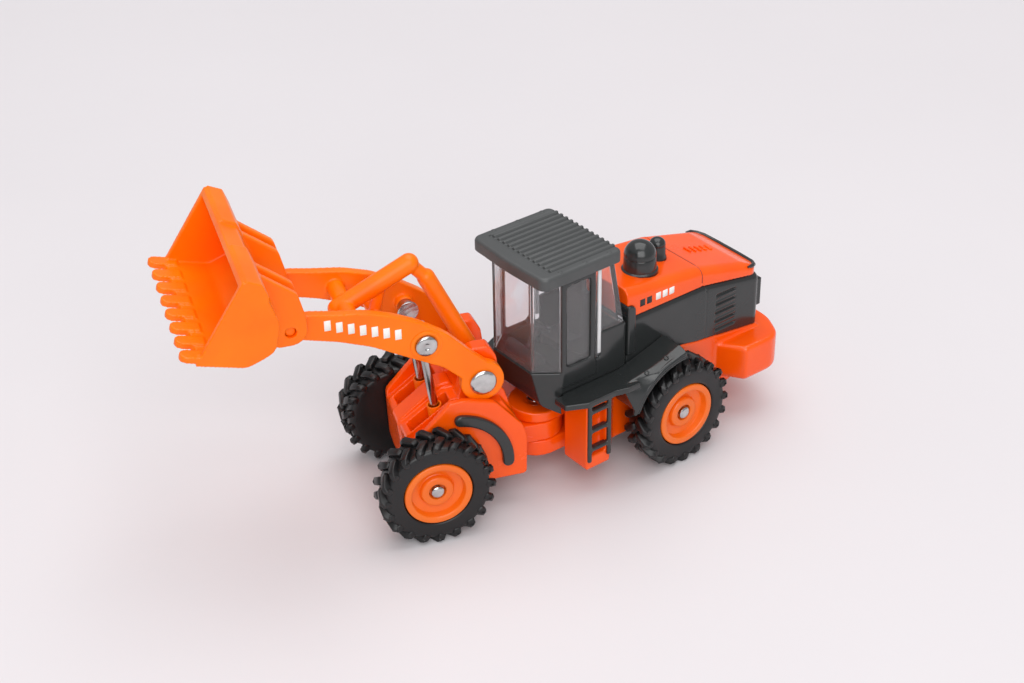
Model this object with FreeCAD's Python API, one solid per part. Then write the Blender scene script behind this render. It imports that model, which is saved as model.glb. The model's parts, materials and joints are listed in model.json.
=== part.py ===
import FreeCAD, Part
import math
import os

# Articulated die-cast toy front loader.  Millimetres; +X is forward, +Y is the loader's left, +Z is up.
# Every piece is drawn about the steering axis at ground level, with the front half straight ahead.
# The front half is then turned to the steering angle at rest and the whole is set on its origin.

# ---- overall sizes -------------------------------------------------------------------------------
AXLE_OFFSET = 16.4            # steering axis to either wheel axle
TRACK_OUTER = 11.6            # centre line to the outer side of a tyre
WHEEL_RADIUS = 7.5
TYRE_WIDTH = 4.2
GROUND_CLEARANCE = 4.3        # underside of both chassis halves
STEER_AT_REST = -20.0         # degrees, front half turned to the loader's right

# ---- fits ----------------------------------------------------------------------------------------
RUNNING_GAP = 0.05            # radial clearance of every pin that something turns on
SIDE_GAP = 0.10               # play between faces that slide past each other

# ---- wheels and axles ----------------------------------------------------------------------------
RIM_RADIUS = 4.4
RIM_SEAT_RADIUS = 4.0
HUB_RADIUS = 1.45
AXLE_RADIUS = 0.55
AXLE_HEAD_RADIUS = 0.82
AXLE_HEAD_THICKNESS = 0.5
AXLE_HEAD_INSET = 0.3         # axle end below the outer side of the tyre
RIM_FACE_INSET = 0.15
TYRE_CROWN = 0.25             # how much lower the tread is at its shoulders
TYRE_WEB = 0.25               # closed inner side of the tyre, behind the rim

# ---- steering joint ------------------------------------------------------------------------------
LUG_RADIUS = 3.65
LUG_TOP_HEIGHT = 11.0
LUG_TOP_THICKNESS = 1.55
LUG_LOW_THICKNESS = 2.3
STEER_PIN_RADIUS = 0.8
STEER_HEAD_RADIUS = 1.05
STEER_HEAD_RECESS = 0.25

# ---- rear half -----------------------------------------------------------------------------------
WALL_FRONT_X = -0.9           # front wall of the rear casting, beside the steering joint
LUG_ROOT_X = -4.3
STEP_HALF_WIDTH = 9.6
STEP_LENGTH = 3.8
STEP_POCKET_DEPTH = 1.3
REAR_HALF_WIDTH = 6.1
DECK_HEIGHT = 14.3
DECK_THICKNESS = 0.8
REAR_WALL = 1.3
WEIGHT_FRONT_X = -26.5
WEIGHT_REAR_X = -37.2
WEIGHT_HALF_WIDTH = 9.6
WEIGHT_TOP = 11.8
WEIGHT_BOTTOM = 6.4
HOUSING_FRONT_X = -10.3
HOUSING_REAR_X = -34.1
HOUSING_TOP = 22.0
HOUSING_WALL = 1.0
HOOD_HEIGHT = 4.1
HOOD_WALL = 0.9
HOOD_CORNER = 1.3
SEAM_X = -23.2                # seam across hood and side panels
SEAM = 0.2
BULKHEAD_LENGTH = 1.3         # block between cab and hood
LOUVRE_FRONT_X = -26.0
LOUVRE_LENGTH = 3.6
INTAKE_RADIUS = 2.15
INTAKE_HEIGHT = 4.3
EXHAUST_RADIUS = 1.1
EXHAUST_HEIGHT = 3.2
BASE_THICKNESS = 0.8
POST_RADIUS = 0.9
POST_HEAD_RADIUS = 1.3
POST_HEAD_DEPTH = 0.4

# ---- cab -----------------------------------------------------------------------------------------
CAB_HALF_WIDTH = 6.4
CAB_FRONT_X = 3.7
CAB_CORNER_X = 0.6            # where the slanted corner pane meets the side
CAB_FRONT_HALF_WIDTH = 4.0
CAB_REAR_X = -10.1
SILL_HEIGHT = 18.3
REAR_SILL_HEIGHT = 21.9
REAR_SILL_X = -5.7
CAB_WALL = 0.8
GLASS_THICKNESS = 0.55
GLASS_INSET = 0.15
ROOF_UNDERSIDE = 31.8
DOOR_REAR_X = -4.9            # rear edge of the door frame
DOOR_POST = 0.8
ROOF_THICKNESS = 1.7
ROOF_HALF_WIDTH = 7.3
ROOF_FRONT_X = 4.4
ROOF_REAR_X = -8.5
ROOF_RIB_COUNT = 12
ROOF_BORDER = 1.2
ROOF_RIB_HEIGHT = 0.25

# ---- fenders and steps ---------------------------------------------------------------------------
FENDER_OUTER = 11.0
FENDER_GAP = 0.8              # over the tyre
FENDER_EDGE = 0.75            # thickness of the rolled outer edge
FENDER_LOW_ANGLE = 21.0
FENDER_HIGH_ANGLE = 91.0
LADDER_RAIL = 0.6
LADDER_PROUD = 0.45
LADDER_BOTTOM = 5.6
RUNG_COUNT = 3
RUNG_HEIGHT = 0.55

# ---- front half ----------------------------------------------------------------------------------
FRAME_HALF_WIDTH = 4.5
FRAME_REAR_X = 4.3
SLOPE_TOP = (12.7, 16.3)
NOSE_X = AXLE_OFFSET + 1.9     # front end of the casting, past the axle
SLOPE_BOTTOM = (NOSE_X + 0.3, 12.1)
RIB_HALF_WIDTH = 1.4           # rib down the middle of the slope
RIB_PROUD = 0.6
TOWER_TOP = 23.2
TOWER_INNER = 2.3
FENDER_PLATE_INNER = 6.2
FENDER_PLATE_THICKNESS = 0.9
TRIM_RADIUS = 7.2
TRIM_WIDTH = 1.5
TRIM_PROUD = 0.7

# ---- lift arms -----------------------------------------------------------------------------------
BOOM_PIVOT = (8.7, 19.2)
LIFT_PIVOT = (15.8, 26.1)
BUCKET_PIVOT = (32.4, 31.9)
ARM_INNER = 4.7
ARM_THICKNESS = 1.3
BOOM_PIN_RADIUS = 0.9
BOOM_PIN_HEAD_RADIUS = 1.7
LIFT_PIN_RADIUS = 0.5
LIFT_PIN_HEAD_RADIUS = 1.35
TRUNNION_RADIUS = 0.65
TRUNNION_RECESS = 0.4         # end of the trunnion below the face of the bucket's ear
LINK_RADIUS = 1.25

# ---- lift rods and guides ------------------------------------------------------------------------
GUIDE_PIVOT = (13.6, 9.0)
ROD_OFFSET = 3.2              # centre line to a lift rod
ROD_RADIUS = 0.55
ROD_LENGTH = 12.2
ROD_EYE_RADIUS = 1.1
ROD_EYE_THICKNESS = 2 * ROD_RADIUS - 0.1
ROD_SIDE = ROD_RADIUS + RUNNING_GAP    # room that a rod takes on each side of its middle
GUIDE_BORE_RADIUS = ROD_RADIUS + 0.2
GUIDE_RADIUS = GUIDE_BORE_RADIUS + 0.2
GUIDE_POCKET_INNER = ROD_OFFSET - GUIDE_RADIUS - SIDE_GAP
GUIDE_POCKET_OUTER = ROD_OFFSET + GUIDE_RADIUS + SIDE_GAP
GUIDE_ABOVE = 6.4
GUIDE_BELOW = 3.0
GUIDE_TRUNNION_RADIUS = 0.4

# ---- bucket --------------------------------------------------------------------------------------
BUCKET_HALF_WIDTH = 12.3
BUCKET_WALL = 0.9
BUCKET_SIDE = 0.8
BUCKET_LIP = (38.2, 42.7)
BUCKET_FLOOR_FRONT = (44.5, 32.9)
EAR_THICKNESS = 1.0
EAR_GAP = 0.2
TOOTH_COUNT = 8
TOOTH_WIDTH = 2.0
TOOTH_LENGTH = 1.9
TOOTH_THICKNESS = 0.8

# ---- worked out from the sizes above -------------------------------------------------------------
V = FreeCAD.Vector
ORIGIN = V(0, 0, 0)
LUG_LOW_TOP = GROUND_CLEARANCE + LUG_LOW_THICKNESS
LUG_TOP_UNDERSIDE = LUG_TOP_HEIGHT - LUG_TOP_THICKNESS
BASE_TOP = GROUND_CLEARANCE + BASE_THICKNESS
DECK_TOP = DECK_HEIGHT + DECK_THICKNESS
ROOF_TOP = ROOF_UNDERSIDE + ROOF_THICKNESS
STEP_REAR_X = WALL_FRONT_X - STEP_LENGTH
ARM_OUTER = ARM_INNER + ARM_THICKNESS
FENDER_PLATE_OUTER = FENDER_PLATE_INNER + FENDER_PLATE_THICKNESS
WHEEL_CENTRE_Y = TRACK_OUTER - TYRE_WIDTH / 2

PLANES = {
    "x": (lambda a, b, level: V(level, a, b), V(1, 0, 0)),
    "y": (lambda a, b, level: V(a, level, b), V(0, 1, 0)),
    "z": (lambda a, b, level: V(a, b, level), V(0, 0, 1)),
}


# ---- building blocks -----------------------------------------------------------------------------
def round_corner(before, corner, after):
    """Points of one corner of an outline: itself, or the start, middle and end of its arc."""
    point = V(corner[0], corner[1], 0)
    radius = corner[2] if len(corner) > 2 else 0
    if radius == 0:
        return [point]
    to_before = (V(before[0], before[1], 0) - point).normalize()
    to_after = (V(after[0], after[1], 0) - point).normalize()
    half_angle = to_before.getAngle(to_after) / 2
    reach = radius / math.tan(half_angle)
    inward = (to_before + to_after).normalize()
    middle = point + inward * (radius / math.sin(half_angle) - radius)
    return [point + to_before * reach, middle, point + to_after * reach]


def outline_wire(corners, axis, level):
    """Closed wire through corners (a, b) or (a, b, radius), on the plane across an axis."""
    place = PLANES[axis][0]
    count = len(corners)
    rounded = [round_corner(corners[i - 1], corners[i], corners[(i + 1) % count]) for i in range(count)]
    edges = []
    for i in range(count):
        here = [place(p.x, p.y, level) for p in rounded[i]]
        following = rounded[(i + 1) % count][0]
        start_of_next = place(following.x, following.y, level)
        if len(here) == 3:
            edges.append(Part.Arc(here[0], here[1], here[2]).toShape())
        if here[-1].distanceToPoint(start_of_next) > 1e-6:
            edges.append(Part.LineSegment(here[-1], start_of_next).toShape())
    return Part.Wire(edges)


def slab(corners, axis, start, end):
    """Solid of an outline carried along an axis from start to end."""
    face = Part.Face(outline_wire(corners, axis, start))
    return face.extrude(PLANES[axis][1] * (end - start))


def across(corners, half_width):
    """Solid of a side outline, centred on the loader's middle plane."""
    return slab(corners, "y", -half_width, half_width)


def box(x0, x1, y0, y1, z0, z1):
    """Box between two corners."""
    return Part.makeBox(x1 - x0, y1 - y0, z1 - z0, V(x0, y0, z0))


def bar(start, end, radius):
    """Round bar between two points."""
    return Part.makeCylinder(radius, (end - start).Length, start, end - start)


def pin_y(place, radius, y0, y1):
    """Round bar along Y at (x, z)."""
    return bar(V(place[0], y0, place[1]), V(place[0], y1, place[1]), radius)


def pin_z(x, y, radius, z0, z1):
    """Upright round bar at (x, y)."""
    return bar(V(x, y, z0), V(x, y, z1), radius)


def mirrored(shape):
    """Copy on the other side of the middle plane."""
    return shape.mirror(ORIGIN, V(0, 1, 0))


def both_sides(shape):
    """A shape and its mirror image, for fusing or cutting."""
    return [shape, mirrored(shape)]


def join(shapes):
    """One solid of shapes that overlap."""
    result = shapes[0]
    if len(shapes) > 1:
        result = result.fuse(shapes[1:])
    return result.removeSplitter()


def carve(shape, tools):
    """A shape with others taken out of it."""
    return shape.cut(tools).removeSplitter()


def revolve_y(profile, x, y, z, side):
    """Solid turned about a Y axis through (x, z); profile is (radius, distance out from y)."""
    points = [V(x + radius, y + side * out, z) for radius, out in profile]
    face = Part.Face(Part.makePolygon(points + points[:1]))
    return face.revolve(V(x, 0, z), V(0, 1, 0), 360)


def soften(shape, radius, choose):
    """Fillet of the edges that the choose function picks."""
    return shape.makeFillet(radius, [edge for edge in shape.Edges if choose(edge)])


def edge_at_height(height):
    """Picks edges that lie flat at a height."""
    return lambda edge: abs(edge.BoundBox.ZMin - height) < 1e-4 and abs(edge.BoundBox.ZMax - height) < 1e-4


def offset_path(points, distance):
    """Open path moved sideways, to the left of its direction, with mitred corners."""
    vectors = [V(p[0], p[1], 0) for p in points]
    normals = []
    for start, end in zip(vectors[:-1], vectors[1:]):
        along = (end - start).normalize()
        normals.append(V(-along.y, along.x, 0))
    moved = [vectors[0] + normals[0] * distance]
    for point, first, second in zip(vectors[1:-1], normals[:-1], normals[1:]):
        middle = (first + second).normalize()
        moved.append(point + middle * (distance / middle.dot(first)))
    moved.append(vectors[-1] + normals[-1] * distance)
    return moved


# ---- wheels --------------------------------------------------------------------------------------
def make_rim(axle_x, side):
    """Dished plastic rim with a raised lip, a seat for the tyre and a bored hub."""
    face = TYRE_WIDTH / 2 - RIM_FACE_INSET
    back = -TYRE_WIDTH / 2 + 0.1 + TYRE_WEB
    recess = TYRE_WIDTH / 2 - AXLE_HEAD_INSET - AXLE_HEAD_THICKNESS - RUNNING_GAP
    bore = AXLE_RADIUS + RUNNING_GAP
    lip_back = face - 0.35
    profile = [
        (bore, back), (HUB_RADIUS, back), (HUB_RADIUS, -0.2), (RIM_SEAT_RADIUS - 0.7, -0.2),
        (RIM_SEAT_RADIUS - 0.5, back), (RIM_SEAT_RADIUS, back), (RIM_SEAT_RADIUS, lip_back),
        (RIM_RADIUS, lip_back), (RIM_RADIUS, face - 0.1), (RIM_RADIUS - 0.2, face),
        (RIM_RADIUS - 0.75, face), (RIM_RADIUS - 0.95, face - 0.45), (RIM_RADIUS - 1.7, face - 0.65),
        (RIM_RADIUS - 1.8, face - 0.85), (HUB_RADIUS + 0.35, face - 0.75), (HUB_RADIUS, face - 0.3),
        (HUB_RADIUS - 0.3, face - 0.2), (HUB_RADIUS - 0.4, recess), (bore, recess),
    ]
    return revolve_y(profile, axle_x, side * WHEEL_CENTRE_Y, WHEEL_RADIUS, side)


def make_tyre(axle_x, side):
    """Solid rubber tyre, as wide and tall as its lugs."""
    half = TYRE_WIDTH / 2
    lip_back = half - RIM_FACE_INSET - 0.35
    shoulder = WHEEL_RADIUS - TYRE_CROWN
    web_radius = HUB_RADIUS - 0.3
    web = -half + 0.1 + TYRE_WEB
    profile = [
        (web_radius, -half + 0.1), (web_radius, web), (RIM_SEAT_RADIUS, web),
        (RIM_SEAT_RADIUS, lip_back), (RIM_RADIUS + 0.05, lip_back),
        (RIM_RADIUS + 0.15, half - 0.3), (RIM_RADIUS + 0.9, half), (shoulder - 0.9, half),
        (shoulder - 0.25, half - 0.2), (shoulder, half - 0.6), (WHEEL_RADIUS, half - 1.4),
        (WHEEL_RADIUS, -half + 1.4), (shoulder, -half + 0.6), (shoulder - 0.25, -half + 0.2),
        (shoulder - 0.9, -half), (RIM_RADIUS + 0.9, -half), (RIM_RADIUS + 0.15, -half + 0.1),
    ]
    return revolve_y(profile, axle_x, side * WHEEL_CENTRE_Y, WHEEL_RADIUS, side)


def make_axle(axle_x):
    """Steel axle with a riveted head in each hub."""
    end = TRACK_OUTER - AXLE_HEAD_INSET
    place = (axle_x, WHEEL_RADIUS)
    shaft = pin_y(place, AXLE_RADIUS, -end, end)
    heads = both_sides(pin_y(place, AXLE_HEAD_RADIUS, end - AXLE_HEAD_THICKNESS, end))
    return join([shaft] + heads)


# ---- rear half -----------------------------------------------------------------------------------
def rear_posts():
    """Places (x, y) of the riveting posts under the rear casting."""
    return [(LUG_ROOT_X - 4.5, 0), (WEIGHT_FRONT_X + 1.8, 0)]


def riveted_post(x, y):
    """Post of a casting that goes through the base plate, peened over inside the plate."""
    shaft = pin_z(x, y, POST_RADIUS, GROUND_CLEARANCE + 0.05, BASE_TOP + 1)
    head = pin_z(x, y, POST_HEAD_RADIUS, GROUND_CLEARANCE + 0.05, GROUND_CLEARANCE + POST_HEAD_DEPTH)
    return shaft.fuse(head)


def post_holes(places):
    """Stepped holes of a base plate for the riveted posts."""
    holes = []
    for x, y in places:
        holes.append(pin_z(x, y, POST_RADIUS + RUNNING_GAP, 0, BASE_TOP + 1))
        holes.append(pin_z(x, y, POST_HEAD_RADIUS + RUNNING_GAP, 0, GROUND_CLEARANCE + POST_HEAD_DEPTH))
    return holes


def make_rear_chassis():
    """Painted casting: steering lugs, step wall, hollow middle and counterweight."""
    plan = [
        (LUG_ROOT_X, -STEP_HALF_WIDTH / 2), (WALL_FRONT_X, -STEP_HALF_WIDTH / 2 - 0.1),
        (WALL_FRONT_X, -STEP_HALF_WIDTH), (STEP_REAR_X, -STEP_HALF_WIDTH),
        (STEP_REAR_X - 3.5, -REAR_HALF_WIDTH), (WEIGHT_FRONT_X, -REAR_HALF_WIDTH),
        (WEIGHT_FRONT_X, REAR_HALF_WIDTH), (STEP_REAR_X - 3.5, REAR_HALF_WIDTH),
        (STEP_REAR_X, STEP_HALF_WIDTH), (WALL_FRONT_X, STEP_HALF_WIDTH),
        (WALL_FRONT_X, STEP_HALF_WIDTH / 2 + 0.1), (LUG_ROOT_X, STEP_HALF_WIDTH / 2),
    ]
    middle = slab(plan, "z", GROUND_CLEARANCE, DECK_HEIGHT)
    side_view = [
        (WALL_FRONT_X + 1, GROUND_CLEARANCE - 1), (WALL_FRONT_X + 1, DECK_HEIGHT),
        (HOUSING_FRONT_X - 1, DECK_HEIGHT), (-16.5, DECK_HEIGHT), (-20.0, 14.2, 4), (-23.0, 13.6, 4),
        (WEIGHT_REAR_X, 12.0), (WEIGHT_REAR_X, 5.0), (WEIGHT_FRONT_X + 1, GROUND_CLEARANCE - 1),
    ]
    middle = middle.common(across(side_view, STEP_HALF_WIDTH + 1))
    tail_view = [
        (WEIGHT_FRONT_X + 1, GROUND_CLEARANCE), (WEIGHT_FRONT_X + 1, 13.2), (HOUSING_REAR_X, 12.2),
        (HOUSING_REAR_X, WEIGHT_BOTTOM), (WEIGHT_FRONT_X - 2.5, 4.9, 1.0),
    ]
    tail = across(tail_view, REAR_HALF_WIDTH)
    weight_plan = [
        (WEIGHT_FRONT_X, -REAR_HALF_WIDTH), (WEIGHT_FRONT_X - 2.4, -WEIGHT_HALF_WIDTH, 0.5),
        (WEIGHT_REAR_X + 2.2, -WEIGHT_HALF_WIDTH, 3.2), (WEIGHT_REAR_X, -REAR_HALF_WIDTH + 1, 6.0),
        (WEIGHT_REAR_X, REAR_HALF_WIDTH - 1, 6.0), (WEIGHT_REAR_X + 2.2, WEIGHT_HALF_WIDTH, 3.2),
        (WEIGHT_FRONT_X - 2.4, WEIGHT_HALF_WIDTH, 0.5), (WEIGHT_FRONT_X, REAR_HALF_WIDTH),
    ]
    weight = slab(weight_plan, "z", WEIGHT_BOTTOM, WEIGHT_TOP)
    weight = soften(weight, 0.6, edge_at_height(WEIGHT_TOP))
    weight = soften(weight, 0.9, edge_at_height(WEIGHT_BOTTOM))
    lug_top = pin_z(0, 0, LUG_RADIUS, LUG_TOP_UNDERSIDE, LUG_TOP_HEIGHT)
    lug_low = pin_z(0, 0, LUG_RADIUS, GROUND_CLEARANCE, LUG_LOW_TOP)
    arm_top = box(LUG_ROOT_X - 1, 0, -LUG_RADIUS, LUG_RADIUS, LUG_TOP_UNDERSIDE, LUG_TOP_HEIGHT)
    arm_low = box(LUG_ROOT_X - 1, 0, -LUG_RADIUS, LUG_RADIUS, GROUND_CLEARANCE, LUG_LOW_TOP)
    body = join([middle, tail, weight, lug_top, lug_low, arm_top, arm_low])
    hollow = box(
        WEIGHT_FRONT_X + 0.5, LUG_ROOT_X - 2, -REAR_HALF_WIDTH + REAR_WALL, REAR_HALF_WIDTH - REAR_WALL,
        GROUND_CLEARANCE - 1, DECK_HEIGHT - 2.2)
    pocket = box(
        STEP_REAR_X + LADDER_RAIL, WALL_FRONT_X - LADDER_RAIL, STEP_HALF_WIDTH - STEP_POCKET_DEPTH,
        STEP_HALF_WIDTH + 1, LADDER_BOTTOM + 0.6, DECK_HEIGHT - 0.6)
    pin_hole = pin_z(0, 0, STEER_PIN_RADIUS + RUNNING_GAP, 0, LUG_TOP_HEIGHT + 1)
    recesses = [
        pin_z(0, 0, STEER_HEAD_RADIUS + 0.35, LUG_TOP_HEIGHT - STEER_HEAD_RECESS, LUG_TOP_HEIGHT + 1),
        pin_z(0, 0, STEER_HEAD_RADIUS + 0.35, 0, GROUND_CLEARANCE + STEER_HEAD_RECESS),
    ]
    axle_hole = pin_y((-AXLE_OFFSET, WHEEL_RADIUS), AXLE_RADIUS + RUNNING_GAP, -TRACK_OUTER, TRACK_OUTER)
    body = carve(body, [hollow, pin_hole, axle_hole] + recesses + both_sides(pocket))
    posts = []
    for x, y in rear_posts():
        posts.append(pin_z(x, y, POST_RADIUS + 0.6, BASE_TOP, DECK_HEIGHT - 1.5))
        posts.append(riveted_post(x, y))
    return join([body] + posts)


def make_rear_base_plate():
    """Plate that closes the rear casting and holds the axle in."""
    half = REAR_HALF_WIDTH - REAR_WALL - SIDE_GAP
    plate = box(
        WEIGHT_FRONT_X + 0.5 + SIDE_GAP, LUG_ROOT_X - 2 - SIDE_GAP, -half, half, GROUND_CLEARANCE, BASE_TOP)
    saddle = box(
        -AXLE_OFFSET - 1.4, -AXLE_OFFSET + 1.4, -half, half,
        GROUND_CLEARANCE, WHEEL_RADIUS - AXLE_RADIUS - RUNNING_GAP)
    return carve(join([plate, saddle]), post_holes(rear_posts()))


def make_steer_rivet():
    """Rivet that the two halves steer on."""
    head = 0.5
    low = GROUND_CLEARANCE + STEER_HEAD_RECESS - head
    high = LUG_TOP_HEIGHT - STEER_HEAD_RECESS + head
    shaft = pin_z(0, 0, STEER_PIN_RADIUS, low, high)
    low_head = pin_z(0, 0, STEER_HEAD_RADIUS, low, low + head)
    high_head = pin_z(0, 0, STEER_HEAD_RADIUS, high - head, high)
    return join([shaft, low_head, high_head])


def make_engine_housing():
    """Side panels, louvres and rear grille under the hood, in one moulding."""
    view = [
        (HOUSING_FRONT_X, DECK_TOP), (HOUSING_FRONT_X, HOUSING_TOP), (-23.5, HOUSING_TOP, 6),
        (HOUSING_REAR_X - 0.2, 20.08, 1.2), (HOUSING_REAR_X - 0.2, 12.2),
        (-23.0, 13.6, 4), (-20.0, 14.2, 4), (-16.5, DECK_HEIGHT), (HOUSING_FRONT_X - 1.2, DECK_HEIGHT),
        (HOUSING_FRONT_X - 1.2, DECK_TOP),
    ]
    shell = across(view, REAR_HALF_WIDTH + 0.05)
    corners = [edge for edge in shell.Edges
               if edge.BoundBox.XMax < HOUSING_REAR_X and edge.BoundBox.ZLength > 5]
    shell = shell.makeFillet(1.2, corners)
    hollow = box(
        HOUSING_REAR_X + HOUSING_WALL, HOUSING_FRONT_X - HOUSING_WALL, -REAR_HALF_WIDTH + HOUSING_WALL,
        REAR_HALF_WIDTH - HOUSING_WALL, 16.2, HOUSING_TOP + 1)
    slots = []
    for i in range(9):
        z = 14.0 + i * 0.66
        slot = box(
            LOUVRE_FRONT_X - LOUVRE_LENGTH, LOUVRE_FRONT_X,
            REAR_HALF_WIDTH - 0.2, REAR_HALF_WIDTH + 1, z, z + 0.3)
        slots += both_sides(slot)
    seam = box(SEAM_X - 1 - SEAM, SEAM_X - 1, REAR_HALF_WIDTH - SEAM, REAR_HALF_WIDTH + 1, 0, 40)
    shell = carve(shell, [hollow] + slots + both_sides(seam))
    block_view = [
        (HOUSING_FRONT_X, DECK_TOP + 1.5), (HOUSING_FRONT_X, HOUSING_TOP + 2.0, 0.4),
        (HOUSING_FRONT_X - BULKHEAD_LENGTH, HOUSING_TOP + 1.6, 0.8),
        (HOUSING_FRONT_X - BULKHEAD_LENGTH, DECK_TOP + 1.5),
    ]
    block = slab(block_view, "y", REAR_HALF_WIDTH - 2.2, REAR_HALF_WIDTH + 0.4)
    lamp = box(HOUSING_REAR_X - 0.9, HOUSING_REAR_X, 3.2, REAR_HALF_WIDTH - 0.6, 14.6, 18.8)
    return join([shell] + both_sides(block) + both_sides(lamp))


def crowned(start, end, half):
    """Long bar under the line from start to end, with both upper corners rounded."""
    slope = (end[1] - start[1]) / (end[0] - start[0])
    height = start[1] - slope * start[0]
    section = [(-half, 0), (-half, height, HOOD_CORNER), (half, height, HOOD_CORNER), (half, 0)]
    face = Part.Face(outline_wire(section, "x", 0))
    return face.extrude(V(-40, 0, -40 * slope))


def make_hood():
    """Painted hood that slopes down to the rear, open underneath."""
    top_front = HOUSING_TOP + HOOD_HEIGHT
    half = REAR_HALF_WIDTH + 0.1
    front = (HOUSING_FRONT_X - 0.1, top_front)
    bend = (-22.8, top_front - 1.4)
    tail = (-31.0, top_front - 3.6)
    view = [
        (front[0], HOUSING_TOP), front, bend + (12,), tail + (4,), (-33.9, 21.25), (-33.9, 20.15),
        (-23.5, HOUSING_TOP, 6),
    ]
    solid = across(view, half).common(crowned(front, bend, half)).common(crowned(bend, tail, half))
    plan = [
        (front[0] + 1, -half), (front[0] + 1, half), (-33.7, half, 1.6), (-33.7, -half, 1.6),
    ]
    solid = solid.common(slab(plan, "z", 0, 40))
    inner = [
        (HOUSING_FRONT_X - 0.1 - HOOD_WALL, HOUSING_TOP - 2),
        (HOUSING_FRONT_X - 0.1 - HOOD_WALL, top_front - HOOD_WALL, 0.5),
        (-22.8, top_front - 1.4 - HOOD_WALL, 12), (-30.6, top_front - 3.4 - HOOD_WALL, 1),
        (-30.6, HOUSING_TOP - 2),
    ]
    seam = box(SEAM_X - SEAM, SEAM_X, -10, 10, 0, 40).cut(across([
        (front[0], 0), (front[0], top_front - SEAM), (bend[0], bend[1] - SEAM, 12),
        (tail[0], tail[1] - SEAM), (tail[0], 0)], half - SEAM))
    return carve(solid, [across(inner, REAR_HALF_WIDTH - HOOD_WALL), seam])


def hood_surface(x):
    """Height of the hood's flat top at x, in front of its bend."""
    top_front = HOUSING_TOP + HOOD_HEIGHT
    run = (x - HOUSING_FRONT_X) / (-22.8 - HOUSING_FRONT_X)
    return top_front - 1.4 * run


def make_dome(x, y, radius, height):
    """Upright round cap with a domed top, seated into the hood."""
    base = hood_surface(x) - 0.4
    body = Part.makeCone(radius * 1.04, radius * 0.96, height - radius * 0.8, V(x, y, base))
    top = Part.makeSphere(radius * 0.96, V(x, y, base + height - radius * 0.8))
    flange = pin_z(x, y, radius * 1.12, base, base + 0.75)
    return join([body, top, flange])


# ---- cab -----------------------------------------------------------------------------------------
def cab_plan(inset, rear_x):
    """Outline of the cab from above, drawn in from its walls by an inset."""
    half = CAB_HALF_WIDTH - inset
    front = CAB_FRONT_X - inset
    front_half = CAB_FRONT_HALF_WIDTH - inset * 0.4
    corner = CAB_CORNER_X - inset * 0.4
    return [
        (front, -front_half, 0.3), (front, front_half, 0.3), (corner, half, 0.3),
        (rear_x + inset, half, 0.4), (rear_x + inset, -half, 0.4), (corner, -half, 0.3),
    ]


def make_cab_body():
    """Lower cab: a tub with a curved nose that hangs in front of the deck."""
    view = [
        (0.5, 12.0), (CAB_FRONT_X - 0.9, 13.4, 1.5), (CAB_FRONT_X, SILL_HEIGHT), (REAR_SILL_X, SILL_HEIGHT),
        (REAR_SILL_X, REAR_SILL_HEIGHT), (CAB_REAR_X, REAR_SILL_HEIGHT), (CAB_REAR_X, DECK_TOP),
        (CAB_CORNER_X, DECK_TOP), (CAB_CORNER_X, 12.6),
    ]
    solid = across(view, CAB_HALF_WIDTH + 1)
    solid = solid.common(slab(cab_plan(0, CAB_REAR_X), "z", 0, REAR_SILL_HEIGHT + 1))
    tub = slab(cab_plan(CAB_WALL, CAB_REAR_X), "z", DECK_TOP + 0.9, REAR_SILL_HEIGHT + 1)
    solid = carve(solid, [tub])
    outer = box(
        DOOR_REAR_X, CAB_CORNER_X, CAB_HALF_WIDTH - 0.45, CAB_HALF_WIDTH + 0.1, DECK_TOP + 1, ROOF_UNDERSIDE)
    opening = slab([
        (DOOR_REAR_X + DOOR_POST, SILL_HEIGHT + 0.6, 0.5),
        (CAB_CORNER_X - DOOR_POST, SILL_HEIGHT + 0.6, 0.5),
        (CAB_CORNER_X - DOOR_POST, ROOF_UNDERSIDE - 1.1, 0.5),
        (DOOR_REAR_X + DOOR_POST, ROOF_UNDERSIDE - 1.1, 0.5)], "y", 5, 8)
    return join([solid] + both_sides(outer.cut(opening)))


def glass_view(inset):
    """Side outline of the glazing."""
    return [
        (CAB_FRONT_X - inset, 0), (CAB_FRONT_X - inset, ROOF_UNDERSIDE), (-8.1 + inset, ROOF_UNDERSIDE),
        (-9.85 + inset, REAR_SILL_HEIGHT), (-9.85 + inset, 0),
    ]


def make_cab_window():
    """Clear glazing in one moulding, standing on the sills."""
    outer = across(glass_view(GLASS_INSET), CAB_HALF_WIDTH)
    outer = outer.common(slab(cab_plan(GLASS_INSET, CAB_REAR_X), "z", SILL_HEIGHT, ROOF_UNDERSIDE))
    inner = across(glass_view(GLASS_INSET + GLASS_THICKNESS), CAB_HALF_WIDTH)
    inset = GLASS_INSET + GLASS_THICKNESS
    inner = inner.common(slab(cab_plan(inset, CAB_REAR_X), "z", SILL_HEIGHT - 1, ROOF_UNDERSIDE + 1))
    step = box(CAB_REAR_X - 1, REAR_SILL_X, -CAB_HALF_WIDTH, CAB_HALF_WIDTH, 0, REAR_SILL_HEIGHT)
    return carve(outer, [inner, step])


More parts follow.
